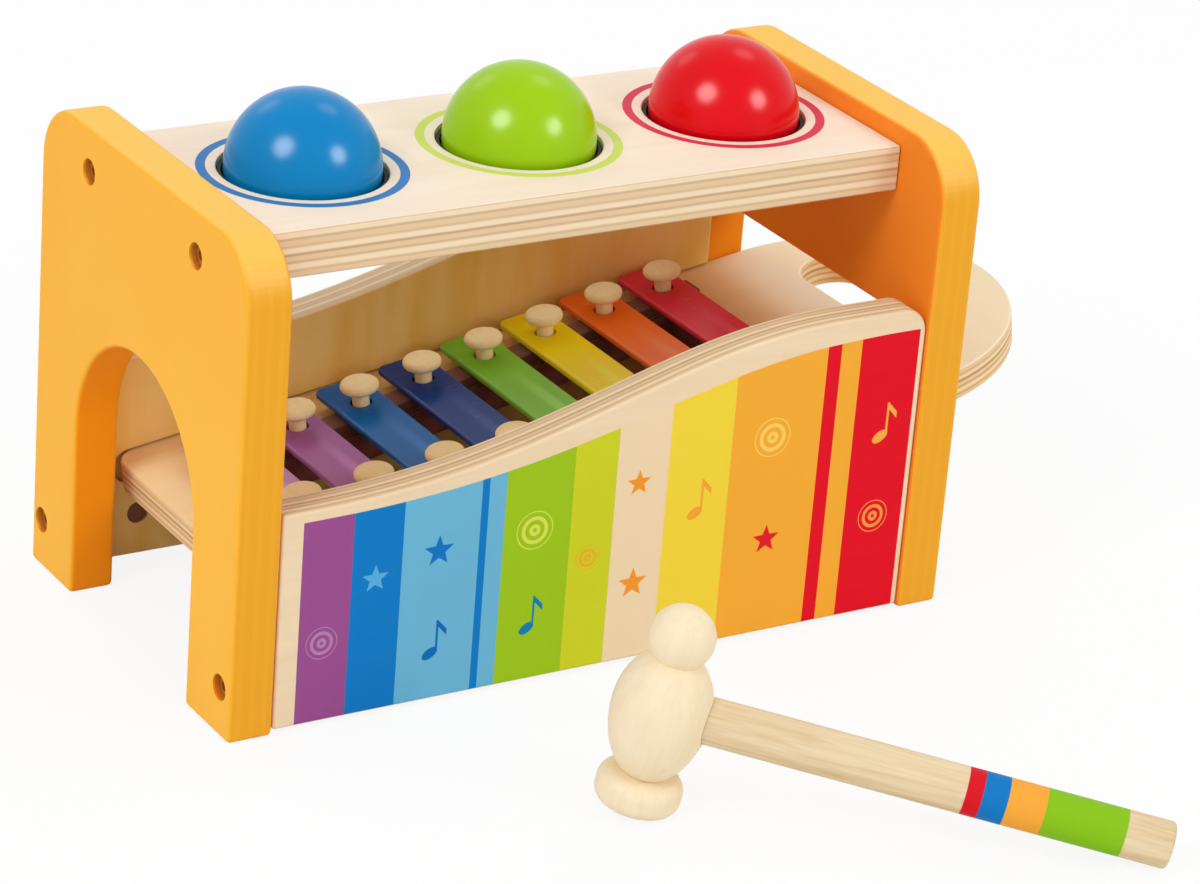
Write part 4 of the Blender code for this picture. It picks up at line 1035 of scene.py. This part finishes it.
keys = {
    "count": 8, "pitch": 0.0223, "width": 0.016, "thickness": 0.0025,
    "corner": 0.0022, "cornerSteps": 8, "eased": 0.0009, "easedSteps": 4,
    "beyondPeg": 0.0155, "holeRadius": 0.0034, "holeSides": 40,
    "firstU": 0.0251, "firstHalf": 0.0223, "step": 0.00193,
    "colours": (
        linear(202, 142, 192), linear(172, 102, 168), linear(0, 106, 186), linear(18, 60, 138),
        linear(132, 200, 52), linear(255, 230, 4), linear(255, 120, 28), linear(240, 56, 80),
    ),
    # a painted highlight along the rim of a key: this wide, and this far down
    "rimFrom": 0.0009, "rimTo": 0.0002, "rimDown": 0.0010, "rimDownTo": 0.0003, "rimHighlightShare": 0.35,
    # a painted highlight: a lighter streak along each key from its back peg on, this far from its middle
    "highlightFrom": -0.0002, "highlightTo": 0.0032, "highlightSoft": 0.0012, "highlightShare": 0.50,
    "highlightFades": (-0.3, 0.75), "highlightLeast": 0.6, "highlightUneven": 0.8,
    "clouds": 90.0, "brushed": (420.0, 18.0), "brushedRise": (0.3, 0.8), "brushedShare": 0.3,
    # painted shade: keys darken towards the back
    "backShadeRise": (0.2, 1.2), "backShadeShare": 0.5,
    # the colours of a key's darker part, from painted shade and brushed streaks, its painted highlight streak
    # and its painted highlight rim: a factor and a lift of its own colour
    "dark": (0.86,), "paintedHighlight": (1.5, 0.07), "rim": (0.84, 0.16),
    "look": {"roughness": 0.22, "uneven": 0.08, "specular": 0.16, "bump": 0.06, "bumpDepth": 0.0002},
}
strips = {
    # the felt under the keys, with the resonator slot beside it
    "width": 0.0085, "thickness": 0.0038, "beyondKey": 0.0035, "toSlot": 0.0012,
    "eased": 0.0004, "easedSteps": 2,
    "felt": linear(112, 62, 48), "worn": linear(142, 86, 66), "fuzz": 2400.0, "clumps": 260.0,
    "look": {"roughness": 0.95, "specular": 0.1, "sheen": 0.2, "bump": 0.6, "bumpDepth": 0.0003},
}
pegs = {
    "head": 0.0059, "headThickness": 0.0037, "dome": 0.0006, "underside": 0.0110,
    "stem": 0.0026, "depth": 0.0065, "holeClearance": 0.0003, "holeSides": 24,
    "steps": 40, "crownSteps": 5, "rimSteps": 12, "clouds": 90.0, "cloudsShare": 0.3,
    "rings": (700.0, 180.0), "ringsRise": (0.35, 0.75), "ringsShare": 0.5,
    "look": {"roughness": 0.45, "uneven": 0.15, "specular": 0.14, "bump": 0.2, "bumpDepth": 0.0001},
}
keyBottom = strips["thickness"] + 2 * bench["gap"]
keyTop = keyBottom + keys["thickness"]
keyLean = keys["step"] / keys["pitch"]


def keyPlaces():
    # each key's place along the tray, and half the distance between its pegs
    steps = range(keys["count"])
    return [(keys["firstU"] + i * keys["pitch"], keys["firstHalf"] + i * keys["step"]) for i in steps]


def resonatorEnds():
    # where the slot under the keys starts and ends along the tray, and half its width there
    beside = strips["width"] / 2 + strips["toSlot"]
    return [(u, half - beside) for u, half in (keyPlaces()[0], keyPlaces()[-1])]


def pegHoles(signs, low, length):
    places = [Matrix.Translation((u, sign * half, low)) for u, half in keyPlaces() for sign in signs]
    return rods(places, pegs["stem"] + pegs["holeClearance"], length, pegs["holeSides"])


def trayWood():
    finish = Finish("trayPlywood", trayFrame)
    streaks, face = veneer(finish, tray["top"], tray["topDark"])
    # painted light: the tip out from under the board is lighter
    tip = finish.rise(finish.x, tray["tipFrom"], tray["tipTo"]) * tray["tipLightShare"]
    face = finish.mix(tip, face, tray["tip"])
    # painted shade among the keys
    shadedAmongKeys = finish.within(finish.x, tray["keysFrom"], tray["keysTo"], tray["keysSoft"])
    face = finish.mix(shadedAmongKeys * (tray["keysShare"] + tray["keysStreaks"] * streaks), face, tray["shadeAmongKeys"])
    # painted shade: the walls of the slot under the keys are dark
    first, last = resonatorEnds()
    ledge = strips["toSlot"] + bench["gap"]
    half = (finish.x - first[0]) * keyLean + first[1]
    slot = finish.within(finish.x, first[0] - ledge, last[0] + ledge) * (abs(finish.y) < half + ledge)
    plies = ("z", -tray["thickness"], tray["ply"], tray["lineShare"])
    return plywood(finish, face, streaks, plies, edges=tray["edges"], paintedShade=(slot, tray["slotShade"]))


def slotCutter():
    reach, radius, over = tray["slotLength"] / 2, tray["slotRadius"], bench["overrun"]
    centre = tray["length"] - tray["slotFromTip"]
    bm = boxMesh((centre - radius, -reach, -tray["thickness"] - over), (centre + radius, reach, over))
    roundEdges(bm, edgesAlong(bm, 2), radius * bench["roundShare"], tray["slotSteps"])
    weld(bm)
    return bm


def resonatorCutter():
    # the tapered slot under the keys, between the strips
    (firstU, narrow), (lastU, broad) = resonatorEnds()
    corners = [(firstU, narrow), (firstU, -narrow), (lastU, -broad), (lastU, broad)]
    return slabMesh(corners, -tray["thickness"] - bench["overrun"], bench["overrun"])


def makeTray():
    half = tray["width"] / 2
    bm = boxMesh((0, -half, -tray["thickness"]), (tray["length"], half, 0))
    tip = edgesAlong(bm, 2, lambda middle: middle.x > half)
    roundEdges(bm, tip, half * bench["roundShare"], tray["tipSteps"])
    weld(bm, tray["tipWeld"])
    corners = edgesAlong(bm, 2, lambda middle: middle.x < bench["gap"])
    roundEdges(bm, corners, tray["corner"], tray["cornerSteps"])
    bm = cutAway(bm, slotCutter(), resonatorCutter())
    roundEdges(bm, sharpEdges(bm), tray["eased"], bench["easedSteps"])
    deep = pegs["depth"] + bench["gap"]
    bm = cutAway(bm, pegHoles((-1, 1), -deep, deep + bench["overrun"]))
    addPiece("xylophoneTray", bm, trayFrame, trayWood(), "xylophone", ["xylophone_tray"])


def feltFinish():
    finish = Finish("tanFelt", trayFrame)
    fuzz = finish.noise(strips["fuzz"], 4.0, 0.7)
    clumps = finish.noise(strips["clumps"], 3.0)
    colour = finish.mix(0.6 * fuzz + 0.4 * clumps, strips["felt"], strips["worn"])
    return finish.coat(strips["look"], colour, fuzz, fuzz + 0.6 * clumps)


def makeStrips():
    felt = feltFinish()
    past = keys["width"] / 2 + strips["beyondKey"]
    half = strips["width"] / 2
    low, high, over = bench["gap"], bench["gap"] + strips["thickness"], bench["overrun"]
    (firstU, firstHalf), (lastU, lastHalf) = keyPlaces()[0], keyPlaces()[-1]
    ends = [(firstU - past, firstHalf - past * keyLean), (lastU + past, lastHalf + past * keyLean)]
    for side, sign in (("front", -1), ("back", 1)):
        corners = [(u, sign * (y - half)) for u, y in ends] + [(u, sign * (y + half)) for u, y in ends[::-1]]
        bm = slabMesh(corners, low, high)
        roundEdges(bm, sharpEdges(bm), strips["eased"], strips["easedSteps"])
        bm = cutAway(bm, pegHoles((sign,), low - over, strips["thickness"] + 2 * over))
        addPiece(side + "KeyStrip", bm, trayFrame, felt, "xylophone", [side + "_key_strip"])


def keyPaint(number):
    finish = Finish(f"key{number}Paint", trayFrame)
    u, spacing = keyPlaces()[number - 1]
    colour = keys["colours"][number - 1]
    clouds = finish.noise(keys["clouds"], 2.0)
    streaks = finish.grain("y", keys["brushed"], 3.0)
    edge = keys["width"] / 2
    rim = finish.rise(abs(finish.x - u), edge - keys["rimFrom"], edge - keys["rimTo"])
    high = finish.rise(finish.z, keyTop - keys["rimDown"], keyTop - keys["rimDownTo"])
    # painted shade: a key is a little darker towards the back, under the board, and its painted highlight
    # streak fades there
    back = finish.y / spacing
    share = finish.rise(streaks, *keys["brushedRise"]) * keys["brushedShare"]
    share = share + keys["backShadeShare"] * finish.rise(back, *keys["backShadeRise"])
    body = finish.mix(share.smaller(1.0), colour, shaded(colour, *keys["dark"]))
    # a painted highlight streak along the key
    highlightMask = finish.within(finish.x - u, keys["highlightFrom"], keys["highlightTo"], keys["highlightSoft"])
    highlightMask = highlightMask * (1 - finish.rise(back, *keys["highlightFades"])) * high
    highlightMask = highlightMask * (keys["highlightLeast"] + keys["highlightUneven"] * streaks) * keys["highlightShare"]
    body = finish.mix(highlightMask, body, shaded(colour, *keys["paintedHighlight"]))
    # painted highlight along the rim
    body = finish.mix(rim * high * keys["rimHighlightShare"], body, shaded(colour, *keys["rim"]))
    return finish.coat(keys["look"], body, clouds, streaks + 2.0 * clouds)


def makeKeys():
    half = keys["width"] / 2
    for number, (u, spacing) in enumerate(keyPlaces(), start=1):
        reach = spacing + keys["beyondPeg"]
        bm = boxMesh((u - half, -reach, keyBottom), (u + half, reach, keyTop))
        roundEdges(bm, edgesAlong(bm, 2), keys["corner"], keys["cornerSteps"])
        roundEdges(bm, sharpEdges(bm), keys["eased"], keys["easedSteps"])
        holes = [Matrix.Translation((u, sign * spacing, 0)) for sign in (-1, 1)]
        bm = cutAway(bm, rods(holes, keys["holeRadius"], keyTop + bench["overrun"], keys["holeSides"]))
        nodes, slotName = [f"key_{number}"], f"key_{number}_paint"
        addPiece(f"key{number}", bm, trayFrame, keyPaint(number), "xylophone", nodes)


def pegWood():
    finish = Finish("pegWood", trayFrame)
    rings = finish.grain("y", pegs["rings"], 3.0, 0.6)
    clouds = finish.noise(pegs["clouds"], 2.0)
    share = finish.rise(rings, *pegs["ringsRise"]) * pegs["ringsShare"] + pegs["cloudsShare"] * clouds
    colour = finish.mix(share, wood["peg"], wood["pegDark"])
    return finish.coat(pegs["look"], colour, rings, rings)


def makePegs():
    finish = pegWood()
    half = (pegs["headThickness"] - pegs["dome"]) / 2
    rim = pegs["head"] - half
    top = pegs["underside"] + pegs["headThickness"]
    # the crown of the head, on a sphere that meets the rim
    crown = (rim ** 2 + pegs["dome"] ** 2) / (2 * pegs["dome"])
    profile = arcPoints(0, top - crown, crown, pi / 2, acos(rim / crown), pegs["crownSteps"])
    profile += arcPoints(rim, pegs["underside"] + half, half, pi / 2, -pi / 2, pegs["rimSteps"])[1:]
    profile += [(pegs["stem"], pegs["underside"]), (pegs["stem"], -pegs["depth"]), (0, -pegs["depth"])]
    for number, (u, spacing) in enumerate(keyPlaces(), start=1):
        for side, sign in (("front", -1), ("back", 1)):
            place = trayFrame @ Matrix.Translation((u, sign * spacing, 0))
            bm = turnedMesh(profile, pegs["steps"])
            nodes = [f"{side}_peg_{number}"]
            addPiece(f"{side}Peg{number}", bm, place, finish, "xylophone", nodes)


makeTray()
makeStrips()
makeKeys()
makePegs()
print("tray, strips, keys and pegs made")


# Fasteners

screw = {
    "head": 0.0034, "headHeight": 0.0034, "headRound": 0.0004, "roundSteps": 4, "steps": 40,
    "shank": 0.0020, "pastNut": 0.0050, "socket": 0.0019, "socketDepth": 0.0018, "socketSides": 6,
    "bronze": linear(178, 116, 46), "bronzeLight": linear(214, 150, 72),
    "dark": linear(78, 44, 34), "darkLight": linear(104, 62, 46), "rub": 800.0,
    "look": {"roughness": 0.34, "uneven": 0.18, "metallic": 1.0, "bump": 0.15, "bumpDepth": 0.00008},
}


def bronzeSteel(name, dark, light):
    finish = Finish(name, benchFrame)
    rub = finish.noise(screw["rub"], 3.0)
    return finish.coat(screw["look"], finish.mix(rub, dark, light), rub, rub)


def makeScrews():
    metal = bronzeSteel("bronzedSteel", screw["bronze"], screw["bronzeLight"])
    nutMetal = bronzeSteel("darkBronze", screw["dark"], screw["darkLight"])
    low, top, edge = bench["gap"], bench["gap"] + screw["headHeight"], screw["headRound"]
    long = endPanel["thickness"] - endPanel["boreDepth"] + fastener["nutFromPanel"] + screw["pastNut"]
    profile = [(0, top)] + arcPoints(screw["head"] - edge, top - edge, edge, pi / 2, 0, screw["roundSteps"])
    profile += [(screw["head"], low), (screw["shank"], low), (screw["shank"], -long), (0, -long)]
    socket = Matrix.Translation((0, 0, top - screw["socketDepth"]))
    socketLength = screw["socketDepth"] + bench["overrun"]
    for end in ("left", "right"):
        for name, (y, z) in screwPlaces().items():
            cutter = rods([socket], screw["socket"], socketLength, screw["socketSides"])
            bm = cutAway(turnedMesh(profile, screw["steps"]), cutter)
            place = benchFrame @ screwFrame(end, y, z)
            nodes = [f"{end}_{name}_screw"]
            pieceName = end + name.title().replace("_", "") + "Screw"
            addPiece(pieceName, bm, place, metal, "bench", nodes)
            frame["nodes"][f"{end}_{name}_nut"].data.materials.clear()
            frame["nodes"][f"{end}_{name}_nut"].data.materials.append(nutMetal)


makeScrews()
print("screws made")


# Mallet

mallet = {
    "at": (0.0864, -0.0756), "heading": radians(-36.5),
    "face": 0.0122, "faceThickness": 0.0100, "faceRound": 0.0038, "faceSteps": 10,
    "body": 0.0140, "bodyHeight": 0.0300, "footNeck": 0.00645, "bodyAbove": 0.0186, "bodySteps": 20,
    "neck": 0.0069, "knob": 0.00935, "knobSteps": 32,
    "handle": 0.0067, "handleHeight": 0.0302, "handleLength": 0.1442, "pastAxis": 0.0040,
    "endRound": 0.0012, "endSteps": 6, "steps": 80, "handleSteps": 64,
    # coloured bands on the handle: each starts this far from the head's axis
    "bands": (
        (0.0855, linear(216, 12, 34)), (0.0900, linear(0, 119, 194)), (0.0970, linear(244, 167, 58)),
        (0.1076, linear(134, 192, 22)),
    ),
    "bandsEnd": 0.1306, "wear": 0.015, "figure": (140.0, 12.0), "figureShare": 0.5,
    "fibres": (620.0, 34.0), "fibresRise": (0.38, 0.72), "fibresShare": 0.5,
    "look": {"roughness": 0.40, "uneven": 0.14, "specular": 0.06, "bump": 0.2, "bumpDepth": 0.0001},
}


def malletFrame():
    # the mallet lies on the rim of its face and on the end of its handle
    m = mallet
    rim = Vector((m["face"] - m["faceRound"], m["faceRound"]))
    end = Vector((m["handleLength"] - m["endRound"], m["handleHeight"] - m["handle"] + m["endRound"]))
    apart = end - rim
    tilt = atan2(apart.y, apart.x) - asin((m["endRound"] - m["faceRound"]) / apart.length)
    lift = m["faceRound"] + (m["face"] - m["faceRound"]) * sin(tilt) - m["faceRound"] * cos(tilt)
    place = benchFrame @ Matrix.Translation((*m["at"], lift))
    return place @ Matrix.Rotation(m["heading"], 4, "Z") @ Matrix.Rotation(tilt, 4, "Y")


def malletWood(name, along, place, light, dark, banded=False):
    finish = Finish(name, place)
    streaks = fibres(finish, along, mallet["fibres"])
    slow = figure(finish, along, mallet["figure"])
    share = finish.rise(slow, *wood["figureRise"]) * mallet["figureShare"]
    share = share + mallet["fibresShare"] * finish.rise(streaks, *mallet["fibresRise"])
    colour = finish.mix(share, light, dark)
    if banded:
        paint, painted = finish.banded(mallet["bands"], mallet["bandsEnd"])
        colour = finish.mix(painted * worn(streaks, mallet["wear"]), colour, paint)
    return finish.coat(mallet["look"], colour, streaks, streaks)


def headProfile():
    # from the knob's crown down over the body to the middle of the striking face
    m = mallet
    neckZ = m["bodyHeight"] + m["bodyAbove"] * sqrt(1 - (m["neck"] / m["body"]) ** 2)
    knobDrop = sqrt(m["knob"] ** 2 - m["neck"] ** 2)
    topAngle = asin((neckZ - m["bodyHeight"]) / m["bodyAbove"])
    footAngle = -acos(m["footNeck"] / m["body"])
    bodyBelow = (m["bodyHeight"] - m["faceThickness"] - bench["gap"]) / sin(-footAngle)
    rim, edge = m["face"] - m["faceRound"], m["faceRound"]
    profile = arcPoints(0, neckZ + knobDrop, m["knob"], pi / 2, -asin(knobDrop / m["knob"]), m["knobSteps"])
    profile += arcPoints(0, m["bodyHeight"], m["body"], topAngle, 0, m["bodySteps"], m["bodyAbove"])[1:]
    profile += arcPoints(0, m["bodyHeight"], m["body"], 0, footAngle, m["bodySteps"], bodyBelow)[1:]
    profile += arcPoints(rim, m["faceThickness"] - edge, edge, pi / 2, 0, m["faceSteps"])
    return profile + arcPoints(rim, edge, edge, 0, -pi / 2, m["faceSteps"]) + [(0, 0)]


def makeMallet():
    m = mallet
    place = malletFrame()
    lie = Matrix.Translation((0, 0, m["handleHeight"])) @ Matrix.Rotation(pi / 2, 4, "Y")
    start = lie @ Matrix.Translation((0, 0, -m["pastAxis"] - bench["gap"]))
    socketLength = m["pastAxis"] + m["body"] + bench["overrun"]
    socket = rods([start], m["handle"] + bench["gap"], socketLength, m["steps"])
    head = cutAway(turnedMesh(headProfile(), m["steps"]), socket)
    headWood = malletWood("headWood", "z", place, wood["turned"], wood["turnedDark"])
    addPiece("malletHead", head, place, headWood, "mallet", ["mallet_head"])
    edge = m["endRound"]
    profile = [(0, m["handleLength"])]
    profile += arcPoints(m["handle"] - edge, m["handleLength"] - edge, edge, pi / 2, 0, m["endSteps"])
    profile += [(m["handle"], -m["pastAxis"]), (0, -m["pastAxis"])]
    handle = turnedMesh(profile, m["handleSteps"])
    handleWood = malletWood("handleWood", "x", place, wood["handle"], wood["handleDark"], banded=True)
    addPiece("malletHandle", handle, place @ lie, handleWood, "mallet", ["mallet_handle"])


makeMallet()
makeFloor()
print("mallet and floor made")
